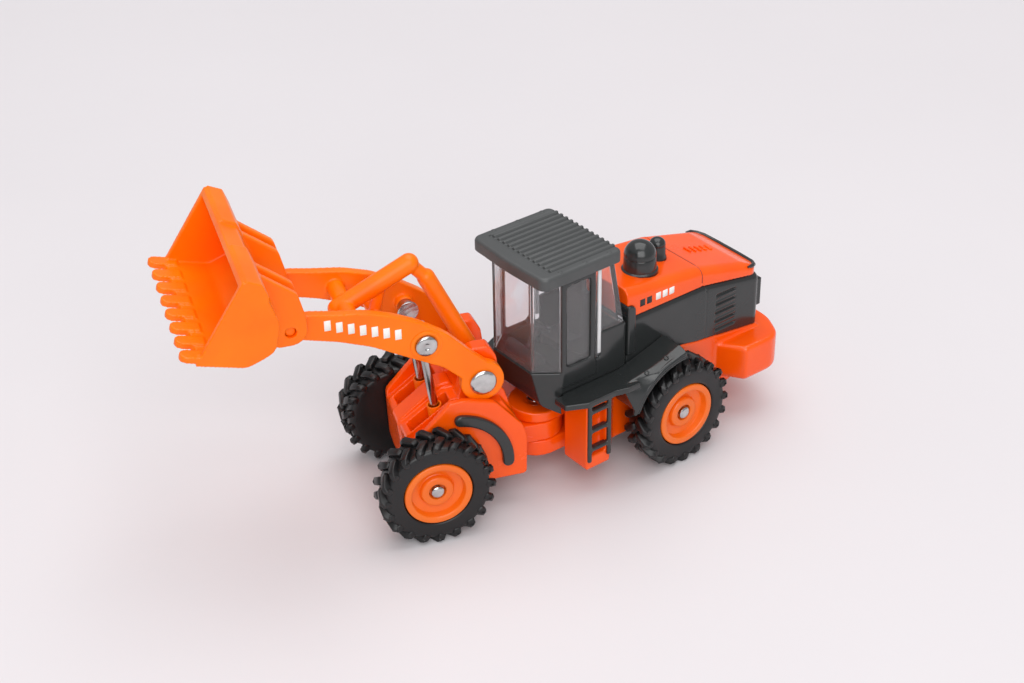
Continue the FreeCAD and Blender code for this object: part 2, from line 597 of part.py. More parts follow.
def make_cab_roof():
    """Roof with an overhanging rim, a sunk panel and ribs along it."""
    plan = [
        (ROOF_FRONT_X - 0.2, -ROOF_HALF_WIDTH, 1.2), (ROOF_FRONT_X + 0.1, 0, 30),
        (ROOF_FRONT_X - 0.2, ROOF_HALF_WIDTH, 1.2), (ROOF_REAR_X, ROOF_HALF_WIDTH, 0.9),
        (ROOF_REAR_X, -ROOF_HALF_WIDTH, 0.9),
    ]
    solid = slab(plan, "z", ROOF_UNDERSIDE, ROOF_TOP)
    solid = soften(solid, 0.5, edge_at_height(ROOF_TOP))
    panel_half = ROOF_HALF_WIDTH - ROOF_BORDER
    panel = box(
        ROOF_REAR_X - 1, ROOF_FRONT_X - ROOF_BORDER - 0.8, -panel_half, panel_half,
        ROOF_TOP - ROOF_RIB_HEIGHT, ROOF_TOP + 1)
    solid = carve(solid, [panel])
    pitch = 2 * panel_half / ROOF_RIB_COUNT
    ribs = []
    for i in range(ROOF_RIB_COUNT):
        y = -panel_half + (i + 0.5) * pitch
        ribs.append(box(
            ROOF_REAR_X + 0.4, ROOF_FRONT_X - ROOF_BORDER - 1.3, y - pitch * 0.3, y + pitch * 0.3,
            ROOF_TOP - ROOF_RIB_HEIGHT - 0.1, ROOF_TOP - 0.02))
    return join([solid] + ribs)


def make_cab_interior():
    """Seat and dashboard on a floor panel."""
    floor_z = DECK_TOP + 0.9
    floor = box(-8.4, 2.4, -3.3, 3.3, floor_z, floor_z + 0.5)
    cushion = box(-6.6, -2.6, -2.0, 2.0, floor_z, 19.4)
    back = across([(-7.6, floor_z), (-5.4, floor_z), (-6.4, 25.4, 0.5), (-7.8, 25.4, 0.5)], 1.9)
    headrest = across([(-7.7, 25.2), (-6.7, 25.2), (-6.9, 27.2, 0.4), (-7.7, 27.2, 0.4)], 1.1)
    dash_view = [(0.6, floor_z), (2.2, floor_z), (2.2, 19.2, 0.4), (1.4, 19.8, 0.4), (0.6, 19.2, 0.3)]
    dash = across(dash_view, 3.0)
    return join([floor, cushion, back, headrest, dash])


def make_steering_wheel():
    """Steering wheel on a leaning column."""
    foot = V(0.9, 0, 19.0)
    top = V(-0.9, 0, 22.0)
    column = bar(foot, top, 0.35)
    lean = (top - foot).normalize()
    ring = Part.makeTorus(1.45, 0.24, top, lean)
    spoke = bar(top - V(0, 1.45, 0), top + V(0, 1.45, 0), 0.2)
    return join([column, ring, spoke])


# ---- deck, fenders and steps ---------------------------------------------------------------------
def fender_section(outer_edge):
    """Points of a fender slice: its top from front to rear, then the wheel arch back."""
    steps = 8
    arch = WHEEL_RADIUS + FENDER_GAP
    top, under = [], []
    for i in range(steps):
        angle = math.radians(FENDER_LOW_ANGLE + (FENDER_HIGH_ANGLE - FENDER_LOW_ANGLE) * i / (steps - 1))
        direction = (math.cos(angle), math.sin(angle))
        under.append((-AXLE_OFFSET + arch * direction[0], WHEEL_RADIUS + arch * direction[1]))
        if outer_edge:
            reach = arch + FENDER_EDGE + 0.35 * (i / (steps - 1)) ** 4
            top.append((-AXLE_OFFSET + reach * direction[0], WHEEL_RADIUS + reach * direction[1]))
        else:
            share = i / (steps - 1)
            x = -6.6 + (under[-1][0] + 6.6) * share
            top.append((x, DECK_TOP + 2.3 * share ** 3))
    return top + under[::-1]


def make_fender(side):
    """One rear fender: deck level beside the cab, rolled down to the arch at its outer edge."""
    inner = fender_section(False)
    outer = fender_section(True)
    flat = slab(inner, "y", REAR_HALF_WIDTH + 0.15, STEP_HALF_WIDTH)
    first = outline_wire(inner, "y", STEP_HALF_WIDTH)
    last = outline_wire(outer, "y", FENDER_OUTER)
    rolled = Part.makeLoft([first, last], True, True)
    fender = join([flat, rolled])
    return fender if side > 0 else mirrored(fender)


def make_ladder(side):
    """Rails and rungs in front of the step pocket."""
    y0 = STEP_HALF_WIDTH
    y1 = STEP_HALF_WIDTH + LADDER_PROUD
    front = box(WALL_FRONT_X - LADDER_RAIL, WALL_FRONT_X, y0, y1, LADDER_BOTTOM, DECK_TOP - 0.2)
    rear = box(STEP_REAR_X, STEP_REAR_X + LADDER_RAIL, y0, y1, LADDER_BOTTOM, DECK_TOP - 0.2)
    pieces = [front, rear]
    pitch = (DECK_HEIGHT - LADDER_BOTTOM) / RUNG_COUNT
    for i in range(RUNG_COUNT):
        z = LADDER_BOTTOM + pitch * (i + 0.55)
        pieces.append(box(STEP_REAR_X, WALL_FRONT_X, y0 - 0.5, y1, z, z + RUNG_HEIGHT))
    ladder = join(pieces)
    return ladder if side > 0 else mirrored(ladder)


def make_fender_deck():
    """Deck under the cab with both fenders and both ladders, in one moulding."""
    plan = [
        (1.9, -8.7, 0.4), (1.9, 8.7, 0.4), (WALL_FRONT_X, 10.1, 0.8), (STEP_REAR_X - 0.6, 10.1, 0.8),
        (-7.0, 10.6), (-9.0, 10.6), (-9.0, REAR_HALF_WIDTH), (HOUSING_FRONT_X - 1.0, REAR_HALF_WIDTH),
        (HOUSING_FRONT_X - 1.0, -REAR_HALF_WIDTH), (-9.0, -REAR_HALF_WIDTH), (-9.0, -10.6), (-7.0, -10.6),
        (STEP_REAR_X - 0.6, -10.1, 0.8), (WALL_FRONT_X, -10.1, 0.8),
    ]
    deck = slab(plan, "z", DECK_HEIGHT, DECK_TOP)
    notch = box(CAB_CORNER_X - 0.2, 3, -CAB_HALF_WIDTH - 0.1, CAB_HALF_WIDTH + 0.1, 0, DECK_TOP + 1)
    deck = carve(deck, [notch])
    return join([deck, make_fender(1), make_fender(-1), make_ladder(1), make_ladder(-1)])


# ---- front half ----------------------------------------------------------------------------------
def front_posts():
    """Places (x, y) of the riveting posts under the front casting."""
    return [(FRAME_REAR_X + 3.2, 0), (AXLE_OFFSET - 2.6, 0)]


def make_front_frame():
    """Painted casting: steering tongue, sloped front with slots, towers and side plates."""
    core_view = [
        (FRAME_REAR_X, BASE_TOP), (FRAME_REAR_X, 12.5), (5.6, 16.7, 0.6), SLOPE_TOP + (0.8,),
        SLOPE_BOTTOM + (0.8,), (NOSE_X - 0.1, BASE_TOP),
    ]
    core = across(core_view, FRAME_HALF_WIDTH)
    rib_view = [
        (SLOPE_TOP[0] - 1.5, SLOPE_TOP[1] - 1), (SLOPE_TOP[0] - 1.2, SLOPE_TOP[1] + RIB_PROUD, 0.6),
        (SLOPE_TOP[0] + 0.4, SLOPE_TOP[1] + RIB_PROUD, 0.9),
        (SLOPE_BOTTOM[0] + 0.3, SLOPE_BOTTOM[1] + 0.3, 0.9),
        (NOSE_X, BASE_TOP + 2), (NOSE_X - 2.3, BASE_TOP + 2),
    ]
    rib = across(rib_view, RIB_HALF_WIDTH)
    shelf_view = [
        (FRAME_REAR_X, BASE_TOP), (FRAME_REAR_X, 12.8), (6.3, 15.9), (12.0, 15.9), (NOSE_X, 11.2),
        (NOSE_X - 0.2, BASE_TOP),
    ]
    shelf = across(shelf_view, FENDER_PLATE_INNER)
    plate_view = [
        (13.4, 17.5, 0.5), (11.6, 17.6, 1.5), (7.4, 16.5, 1.5), (3.8, 12.2, 1.0), (3.3, 10.4, 1.0),
        (3.4, GROUND_CLEARANCE + 0.4, 0.6), (NOSE_X - 0.3, GROUND_CLEARANCE + 0.4, 0.6),
        (NOSE_X, 12.2, 1.5),
    ]
    plate = slab(plate_view, "y", FENDER_PLATE_INNER - 0.05, FENDER_PLATE_OUTER)
    tower_view = [(5.7, 16.0), (6.4, 21.6, 1.5), (7.3, TOWER_TOP, 0.8), (9.9, TOWER_TOP, 0.9), (11.6, 16.0)]
    tower = slab(tower_view, "y", TOWER_INNER, FRAME_HALF_WIDTH - 0.1)
    tongue_low = LUG_LOW_TOP + SIDE_GAP
    tongue_high = LUG_TOP_UNDERSIDE - SIDE_GAP
    tongue = pin_z(0, 0, LUG_RADIUS - 0.05, tongue_low, tongue_high)
    neck = box(0, FRAME_REAR_X + 1, -LUG_RADIUS + 0.05, LUG_RADIUS - 0.05, tongue_low, tongue_high)
    body = join([core, rib, shelf, tongue, neck] + both_sides(plate) + both_sides(tower))
    pocket_view = [
        (10.0, 0), (10.0, 7.6), (12.3, 12.0), (13.0, 20), (NOSE_X - 0.3, 20), (NOSE_X - 0.4, 12.6),
        (15.1, 8.2), (15.1, 0),
    ]
    pocket = slab(pocket_view, "y", GUIDE_POCKET_INNER, GUIDE_POCKET_OUTER)
    trunnion_hole = pin_y(GUIDE_PIVOT, GUIDE_TRUNNION_RADIUS + RUNNING_GAP, 1.3, GUIDE_POCKET_INNER + 0.2)
    step_side = pin_y((AXLE_OFFSET, WHEEL_RADIUS), AXLE_RADIUS + RUNNING_GAP, -TRACK_OUTER, TRACK_OUTER)
    boom_hole = pin_y(BOOM_PIVOT, BOOM_PIN_RADIUS + RUNNING_GAP, -TRACK_OUTER, TRACK_OUTER)
    steer_hole = pin_z(0, 0, STEER_PIN_RADIUS + RUNNING_GAP, 0, LUG_TOP_HEIGHT)
    tools = [step_side, boom_hole, steer_hole]
    tools += both_sides(pocket) + both_sides(trunnion_hole)
    body = carve(body, tools)
    return join([body] + [riveted_post(x, y) for x, y in front_posts()])


def make_front_base_plate():
    """Plate riveted under the front casting."""
    half = FENDER_PLATE_INNER - SIDE_GAP - 0.05
    plate = box(FRAME_REAR_X + 0.4, NOSE_X - 0.5, -half, half, GROUND_CLEARANCE, BASE_TOP)
    return carve(plate, post_holes(front_posts()))


def make_fender_trim(side):
    """Curved strip on the side plate, over the back of the front wheel."""
    centre = V(13.2, FENDER_PLATE_OUTER, 7.8)
    start, end = math.radians(98), math.radians(182)
    outer, inner = TRIM_RADIUS + TRIM_WIDTH / 2, TRIM_RADIUS - TRIM_WIDTH / 2

    def point(radius, angle):
        return centre + V(radius * math.cos(angle), 0, radius * math.sin(angle))

    middle = (start + end) / 2
    tip_start = point(TRIM_RADIUS, start - TRIM_WIDTH / 2 / TRIM_RADIUS)
    tip_end = point(TRIM_RADIUS, end + TRIM_WIDTH / 2 / TRIM_RADIUS)
    edges = [
        Part.Arc(point(outer, start), point(outer, middle), point(outer, end)).toShape(),
        Part.Arc(point(outer, end), tip_end, point(inner, end)).toShape(),
        Part.Arc(point(inner, end), point(inner, middle), point(inner, start)).toShape(),
        Part.Arc(point(inner, start), tip_start, point(outer, start)).toShape(),
    ]
    strip = Part.Face(Part.Wire(edges)).extrude(V(0, TRIM_PROUD, 0))
    outer_face = FENDER_PLATE_OUTER + TRIM_PROUD
    strip = strip.makeFillet(0.25, [e for e in strip.Edges if e.BoundBox.YMin > outer_face - 1e-4])
    return strip if side > 0 else mirrored(strip)


def make_boom_pin():
    """Large rivet through both arms and the towers."""
    end = ARM_OUTER + SIDE_GAP
    shaft = pin_y(BOOM_PIVOT, BOOM_PIN_RADIUS, -end, end)
    heads = []
    for side in (1, -1):
        disc = bar(V(BOOM_PIVOT[0], side * end, BOOM_PIVOT[1]),
                   V(BOOM_PIVOT[0], side * (end + 0.45), BOOM_PIVOT[1]), BOOM_PIN_HEAD_RADIUS)
        heads.append(soften(disc, 0.3, lambda e, s=side: abs(e.BoundBox.YMin - s * (end + 0.45)) < 1e-4
                            and abs(e.BoundBox.YMax - s * (end + 0.45)) < 1e-4))
    return join([shaft] + heads)


# ---- lift rods and guides ------------------------------------------------------------------------
def rod_direction():
    """Unit vector from the guide's pivot to the lift pin, and their distance."""
    line = V(LIFT_PIVOT[0] - GUIDE_PIVOT[0], 0, LIFT_PIVOT[1] - GUIDE_PIVOT[1])
    return V(line).normalize(), line.Length


def make_lift_rod(side):
    """Steel rod with an eye on the lift pin, sliding in its guide."""
    direction = rod_direction()[0]
    top = V(LIFT_PIVOT[0], ROD_OFFSET, LIFT_PIVOT[1])
    half = ROD_EYE_THICKNESS / 2
    eye = pin_y(LIFT_PIVOT, ROD_EYE_RADIUS, ROD_OFFSET - half, ROD_OFFSET + half)
    hole = pin_y(LIFT_PIVOT, LIFT_PIN_RADIUS + RUNNING_GAP, 0, ARM_OUTER)
    shank = bar(top - direction * ROD_LENGTH, top - direction * (LIFT_PIN_RADIUS + 0.2), ROD_RADIUS)
    rod = carve(join([eye, shank]), [hole])
    return rod if side > 0 else mirrored(rod)


def make_lift_guide(side):
    """Plastic sleeve that swings on a stub in the frame and takes the rod."""
    direction = rod_direction()[0]
    pivot = V(GUIDE_PIVOT[0], ROD_OFFSET, GUIDE_PIVOT[1])
    low = pivot - direction * GUIDE_BELOW
    high = pivot + direction * GUIDE_ABOVE
    sleeve = bar(low, high, GUIDE_RADIUS)
    stub = pin_y(GUIDE_PIVOT, GUIDE_TRUNNION_RADIUS, 1.4, ROD_OFFSET)
    bore = bar(low - direction, high + direction, GUIDE_BORE_RADIUS)
    guide = carve(join([sleeve, stub]), [bore])
    return guide if side > 0 else mirrored(guide)


def make_lift_pin(side):
    """Rivet through one arm and the eye of its lift rod."""
    inner = ROD_OFFSET - ROD_SIDE
    shaft = pin_y(LIFT_PIVOT, LIFT_PIN_RADIUS, inner - 0.45, ARM_OUTER + 0.35)
    outer_head = pin_y(LIFT_PIVOT, LIFT_PIN_HEAD_RADIUS, ARM_OUTER, ARM_OUTER + 0.35)
    inner_head = pin_y(LIFT_PIVOT, LIFT_PIN_HEAD_RADIUS, inner - 0.45, inner)
    rivet = join([shaft, outer_head, inner_head])
    return rivet if side > 0 else mirrored(rivet)


# ---- lift arms -----------------------------------------------------------------------------------
def make_arm():
    """Left lift arm with its bosses and the bucket trunnion."""
    view = [
        (31.4, 33.4, 1.5), (27.2, 32.6, 12), (23.2, 32.0, 10), (19.7, 30.9, 10), (16.4, 29.3, 10),
        (13.0, 27.0, 8), (10.0, 23.8, 2), (8.0, 21.9), (6.6, 18.0), (10.4, 17.2), (11.4, 20.2, 1.5),
        (13.6, 22.3, 5), (17.9, 24.6, 10), (22.6, 27.2, 12), (26.6, 28.7, 12), (31.8, 30.1, 1.0),
    ]
    blade = slab(view, "y", ARM_INNER, ARM_OUTER)
    clip = pin_y(BOOM_PIVOT, 2.8, ARM_INNER, ARM_OUTER)
    corner = box(4, 11.6, ARM_INNER, ARM_OUTER, 14, BOOM_PIVOT[1]).cut(clip)
    blade = blade.cut(corner)
    eye_inner = ROD_OFFSET + ROD_SIDE
    bosses = [
        clip,
        pin_y(LIFT_PIVOT, 2.1, ARM_INNER, ARM_OUTER),
        pin_y(LIFT_PIVOT, 1.15, eye_inner, ARM_INNER + 0.1),
        pin_y(BUCKET_PIVOT, 1.9, ARM_INNER, ARM_OUTER),
        pin_y(
            BUCKET_PIVOT, TRUNNION_RADIUS, ARM_INNER - EAR_GAP - EAR_THICKNESS,
            ARM_OUTER + EAR_GAP + EAR_THICKNESS - TRUNNION_RECESS),
    ]
    return join([blade] + bosses)


def make_boom():
    """Both arms, cross members, bell crank and tilt cylinder in one plastic moulding."""
    crank_low = V(25.2, 0, 29.7)
    crank_top = V(16.0, 0, 34.4)
    knuckle = V(13.9, 0, 32.0)
    tail = V(BOOM_PIVOT[0] - 0.4, 0, BOOM_PIVOT[1] + 0.9)
    pieces = both_sides(make_arm())
    pieces += [
        pin_y((24.4, 30.0), 1.1, -ARM_INNER - 0.2, ARM_INNER + 0.2),
        pin_y((20.7, 28.2), 0.8, -ARM_INNER - 0.2, ARM_INNER + 0.2),
        bar(crank_low, crank_top, LINK_RADIUS),
        Part.makeSphere(LINK_RADIUS, crank_low),
        Part.makeSphere(LINK_RADIUS, crank_top),
        bar(crank_top, knuckle, 0.85),
        Part.makeSphere(1.15, knuckle),
        bar(knuckle, tail, 1.15),
        bar(V(19.6, 0, 32.4), V(20.7, 0, 28.2), 0.75),
        pin_y(BOOM_PIVOT, 1.8, -2.0, 2.0),
    ]
    body = join(pieces)
    holes = [pin_y(BOOM_PIVOT, BOOM_PIN_RADIUS + RUNNING_GAP, -TRACK_OUTER, TRACK_OUTER)]
    holes.append(pin_y(LIFT_PIVOT, LIFT_PIN_RADIUS + RUNNING_GAP, -TRACK_OUTER, TRACK_OUTER))
    return carve(body, holes)


# ---- bucket --------------------------------------------------------------------------------------
def make_bucket():
    """Moulded bucket: trough, side plates, ears on the back and rounded teeth."""
    path = [BUCKET_LIP, (36.1, 41.5), (34.4, 36.6), (35.1, 32.9), (38.6, 31.4), BUCKET_FLOOR_FRONT]
    radii = [0, 0.5, 3.0, 2.2, 2.6, 0]
    outer = [(p[0], p[1], r) for p, r in zip(path, radii)]
    solid = across(outer, BUCKET_HALF_WIDTH)
    inset = offset_path(path, BUCKET_WALL)
    first = inset[0] + (inset[0] - inset[1]).normalize() * 4
    last = inset[-1] + (inset[-1] - inset[-2]).normalize() * 4
    inner = [(first.x, first.y)]
    inner += [(p.x, p.y, max(r - BUCKET_WALL, 0)) for p, r in zip(inset[1:-1], radii[1:-1])]
    inner += [(last.x, last.y)]
    bowl = across(inner, BUCKET_HALF_WIDTH - BUCKET_SIDE)
    band = slab([(37.9, 42.9, 0.3), (36.0, 42.0, 0.4), (35.2, 39.8, 0.3), (36.6, 40.0), (38.2, 41.9)],
                "y", 3.0, BUCKET_HALF_WIDTH)
    ear_view = [
        (36.6, 41.2), (31.2, 36.9, 1.2), (30.4, 33.6, 2), (30.4, 30.2, 1.9), (34.0, 30.1, 1.5), (37.4, 32.1),
        (36.0, 37.0),
    ]
    ears = []
    for inner_face in (ARM_INNER - EAR_GAP - EAR_THICKNESS, ARM_OUTER + EAR_GAP):
        ears += both_sides(slab(ear_view, "y", inner_face, inner_face + EAR_THICKNESS))
    body = join([solid] + both_sides(band) + ears)
    hole = pin_y(BUCKET_PIVOT, TRUNNION_RADIUS + RUNNING_GAP, -TRACK_OUTER, TRACK_OUTER)
    body = carve(body, [bowl, hole])
    return join([body] + make_teeth(path[-2]))


def make_teeth(heel):
    """Rounded finger teeth along the cutting edge, in line with the floor."""
    front = V(BUCKET_FLOOR_FRONT[0], 0, BUCKET_FLOOR_FRONT[1])
    along = (front - V(heel[0], 0, heel[1])).normalize()
    up = V(-along.z, 0, along.x)
    pitch = (2 * BUCKET_HALF_WIDTH - TOOTH_WIDTH) / (TOOTH_COUNT - 1)
    teeth = []
    for i in range(TOOTH_COUNT):
        y = -BUCKET_HALF_WIDTH + TOOTH_WIDTH / 2 + i * pitch
        base = front + up * (BUCKET_WALL - TOOTH_THICKNESS + 0.25) + V(0, y, 0)
        half = V(0, TOOTH_WIDTH / 2, 0)
        back = base - along * 1.7
        shoulder = base + along * (TOOTH_LENGTH - TOOTH_WIDTH / 2)
        tip = base + along * TOOTH_LENGTH
        edges = [
            Part.LineSegment(back - half, shoulder - half).toShape(),
            Part.Arc(shoulder - half, tip, shoulder + half).toShape(),
            Part.LineSegment(shoulder + half, back + half).toShape(),
            Part.LineSegment(back + half, back - half).toShape(),
        ]
        teeth.append(Part.Face(Part.Wire(edges)).extrude(up * TOOTH_THICKNESS))
    return teeth


# ---- the whole loader ----------------------------------------------------------------------------
def rear_half():
    """Named pieces of the rear half."""
    chassis = make_rear_chassis()
    housing = carve(make_engine_housing(), [chassis])
    cab_body = make_cab_body()
    wheel = make_steering_wheel()
    intake = make_dome(-16.0, 2.0, INTAKE_RADIUS, INTAKE_HEIGHT)
    exhaust = make_dome(-20.4, 0.4, EXHAUST_RADIUS, EXHAUST_HEIGHT)
    pieces = {
        "rear_chassis": chassis,
        "rear_base_plate": make_rear_base_plate(),
        "steering_rivet": make_steer_rivet(),
        "engine_housing": housing,
        "hood": carve(make_hood(), [intake, exhaust, housing]),
        "air_intake": intake,
        "exhaust_stack": exhaust,
        "cab_body": cab_body,
        "cab_window": carve(make_cab_window(), [cab_body]),
        "cab_roof": make_cab_roof(),
        "cab_interior": carve(make_cab_interior(), [wheel]),
        "steering_wheel": wheel,
        "fender_deck": carve(make_fender_deck(), [chassis, cab_body]),
        "rear_axle": make_axle(-AXLE_OFFSET),
    }
    for name, side in (("left", 1), ("right", -1)):
        pieces["rear_rim_" + name] = make_rim(-AXLE_OFFSET, side)
        pieces["rear_tyre_" + name] = make_tyre(-AXLE_OFFSET, side)
    return pieces


def front_half():
    """Named pieces of the front half, straight ahead."""
    pieces = {
        "front_frame": make_front_frame(),
        "front_base_plate": make_front_base_plate(),
        "front_axle": make_axle(AXLE_OFFSET),
        "boom_pin": make_boom_pin(),
        "boom": make_boom(),
        "bucket": make_bucket(),
    }
    for name, side in (("left", 1), ("right", -1)):
        pieces["front_rim_" + name] = make_rim(AXLE_OFFSET, side)
        pieces["front_tyre_" + name] = make_tyre(AXLE_OFFSET, side)
        pieces["fender_trim_" + name] = make_fender_trim(side)
        pieces["lift_rod_" + name] = make_lift_rod(side)
        pieces["lift_guide_" + name] = make_lift_guide(side)
        pieces["lift_pin_" + name] = make_lift_pin(side)
    return pieces


def origin_shift(shapes):
    """Move that puts the middle of the loader's footprint at the origin."""
    bounds = FreeCAD.BoundBox()
    for shape in shapes:
        bounds.add(shape.optimalBoundingBox(False, False))
    return V(-bounds.Center.x, -bounds.Center.y, -bounds.ZMin)


def build():
    """All pieces by name at rest, with the move that was applied to them."""
    pieces = rear_half()
    for name, shape in front_half().items():
        pieces[name] = shape.rotated(ORIGIN, V(0, 0, 1), STEER_AT_REST)
    shift = origin_shift(pieces.values())
    return {name: shape.translated(shift) for name, shape in pieces.items()}, shift


def main():
    """Write one STEP file for each piece."""
    os.makedirs("parts", exist_ok=True)
    pieces, _ = build()
    for name, shape in pieces.items():
        shape.exportStep("parts/" + name + ".step")


if __name__ == "__main__":
    main()
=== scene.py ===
"""Visible pieces, finishes, light and camera of an articulated die-cast toy front loader.

Shapes are drawn in millimetres in the half of the loader that they belong to: x forward and y to the
loader's left of the steering axis, z up from the ground.  Each half has a frame that turns its
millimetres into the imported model's metres.
"""

import json
import logging
import math
from dataclasses import dataclass
from enum import Enum

import bmesh
import bpy
from mathutils import Matrix, Vector
from mathutils.bvhtree import BVHTree

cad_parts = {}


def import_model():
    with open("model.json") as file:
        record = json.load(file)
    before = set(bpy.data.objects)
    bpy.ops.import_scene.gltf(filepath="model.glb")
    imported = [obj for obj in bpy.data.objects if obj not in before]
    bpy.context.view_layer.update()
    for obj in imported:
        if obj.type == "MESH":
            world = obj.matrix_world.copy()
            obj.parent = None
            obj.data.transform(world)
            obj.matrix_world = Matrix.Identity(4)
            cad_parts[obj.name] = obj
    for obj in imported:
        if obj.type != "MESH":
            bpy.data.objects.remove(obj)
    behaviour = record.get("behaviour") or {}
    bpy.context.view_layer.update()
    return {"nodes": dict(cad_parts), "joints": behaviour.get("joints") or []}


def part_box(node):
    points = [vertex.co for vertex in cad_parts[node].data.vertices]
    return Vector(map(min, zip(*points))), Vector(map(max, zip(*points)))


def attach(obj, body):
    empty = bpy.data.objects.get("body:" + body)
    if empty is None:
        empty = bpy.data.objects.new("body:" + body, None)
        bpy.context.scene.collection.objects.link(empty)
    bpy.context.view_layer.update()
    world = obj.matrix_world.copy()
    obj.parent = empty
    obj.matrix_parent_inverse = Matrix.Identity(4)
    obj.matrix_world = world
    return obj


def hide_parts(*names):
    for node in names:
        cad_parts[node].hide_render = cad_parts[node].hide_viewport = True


LOG = logging.getLogger("toy_loader")
MM = 0.001
WELD = 0.001  # mm, distance at which corners of a copied mesh are merged
FLAT_DEGREES = 0.8  # neighbouring faces within this angle are one flat face
SHARP_DEGREES = 30.0  # edges above this angle are rounded
RING_PLAY = 0.004  # radians, unevenness of the pieces laid out in a ring
SEED = 7
BLEED_RADIUS = (1.0, 0.35, 0.1)  # red light travels furthest in orange plastic
BLEED_DEPTH = 0.6  # mm
Mesh, Object, Work = bpy.types.Mesh, bpy.types.Object, bmesh.types.BMesh
Tree, Socket = bpy.types.NodeTree, bpy.types.NodeSocket
Point = tuple[float, float, float]
Outline = list[tuple[float, float]]


class Side(Enum):
    """Side of the loader, as the sign of y."""

    LEFT = 1
    RIGHT = -1

    @property
    def word(self) -> str:
        """Name of the side as piece names have it."""
        return self.name.lower()


class Grain(Enum):
    """Kind of fine relief that the making of a surface leaves."""

    MOULDED = "soft flow marks of injection moulding"
    SPRAYED = "orange peel of sprayed enamel"
    TURNED = "rings of a turned or peened pin"
    SPARK = "even matt grain of a spark-eroded mould"


# ---- materials --------------------------------------------
def linear(code: str) -> tuple[float, float, float, float]:
    """Turn an sRGB colour into the linear one that the shaders take.

    Args:
        code: Colour as "#rrggbb".

    Returns:
        Linear red, green and blue, with an alpha of one.
    """
    channels = [int(code[i : i + 2], 16) / 255 for i in (1, 3, 5)]
    turned = [c / 12.92 if c <= 0.04045 else ((c + 0.055) / 1.055) ** 2.4 for c in channels]
    return (turned[0], turned[1], turned[2], 1.0)


def add_node(
    tree: Tree, kind: str, settings: dict | None = None, inputs: dict | None = None,
    links: dict | None = None,
) -> bpy.types.Node:
    """Add a node with its settings, its input values and its incoming links.

    Args:
        tree: Node tree that the node goes into.
        kind: Node type.
        settings: Node attributes and their values.
        inputs: Input sockets, by name or number, and their values.
        links: Input sockets, by name or number, and the output sockets that feed them.

    Returns:
        The new node.
    """
    node = tree.nodes.new(kind)
    for key, value in (settings or {}).items():
        setattr(node, key, value)
    for key, value in (inputs or {}).items():
        node.inputs[key].default_value = value
    for key, source in (links or {}).items():
        tree.links.new(source, node.inputs[key])
    return node


def drift(tree: Tree, place: Socket, size: float, noise: dict, span: dict) -> Socket:
    """Add a value that wanders slowly over a surface.

    Args:
        tree: Node tree of the material.
        place: Object coordinates in metres.
        size: Size of its patches in millimetres.
        noise: Further inputs of the noise.
        span: Inputs of the range that the noise is turned to.

    Returns:
        The value.
    """
    clouds = add_node(
        tree, "ShaderNodeTexNoise", {}, {"Scale": 1 / (size * MM), **noise}, {"Vector": place}
    )
    spread = add_node(tree, "ShaderNodeMapRange", {}, span, {"Value": clouds.outputs["Fac"]})
    return spread.outputs["Result"]


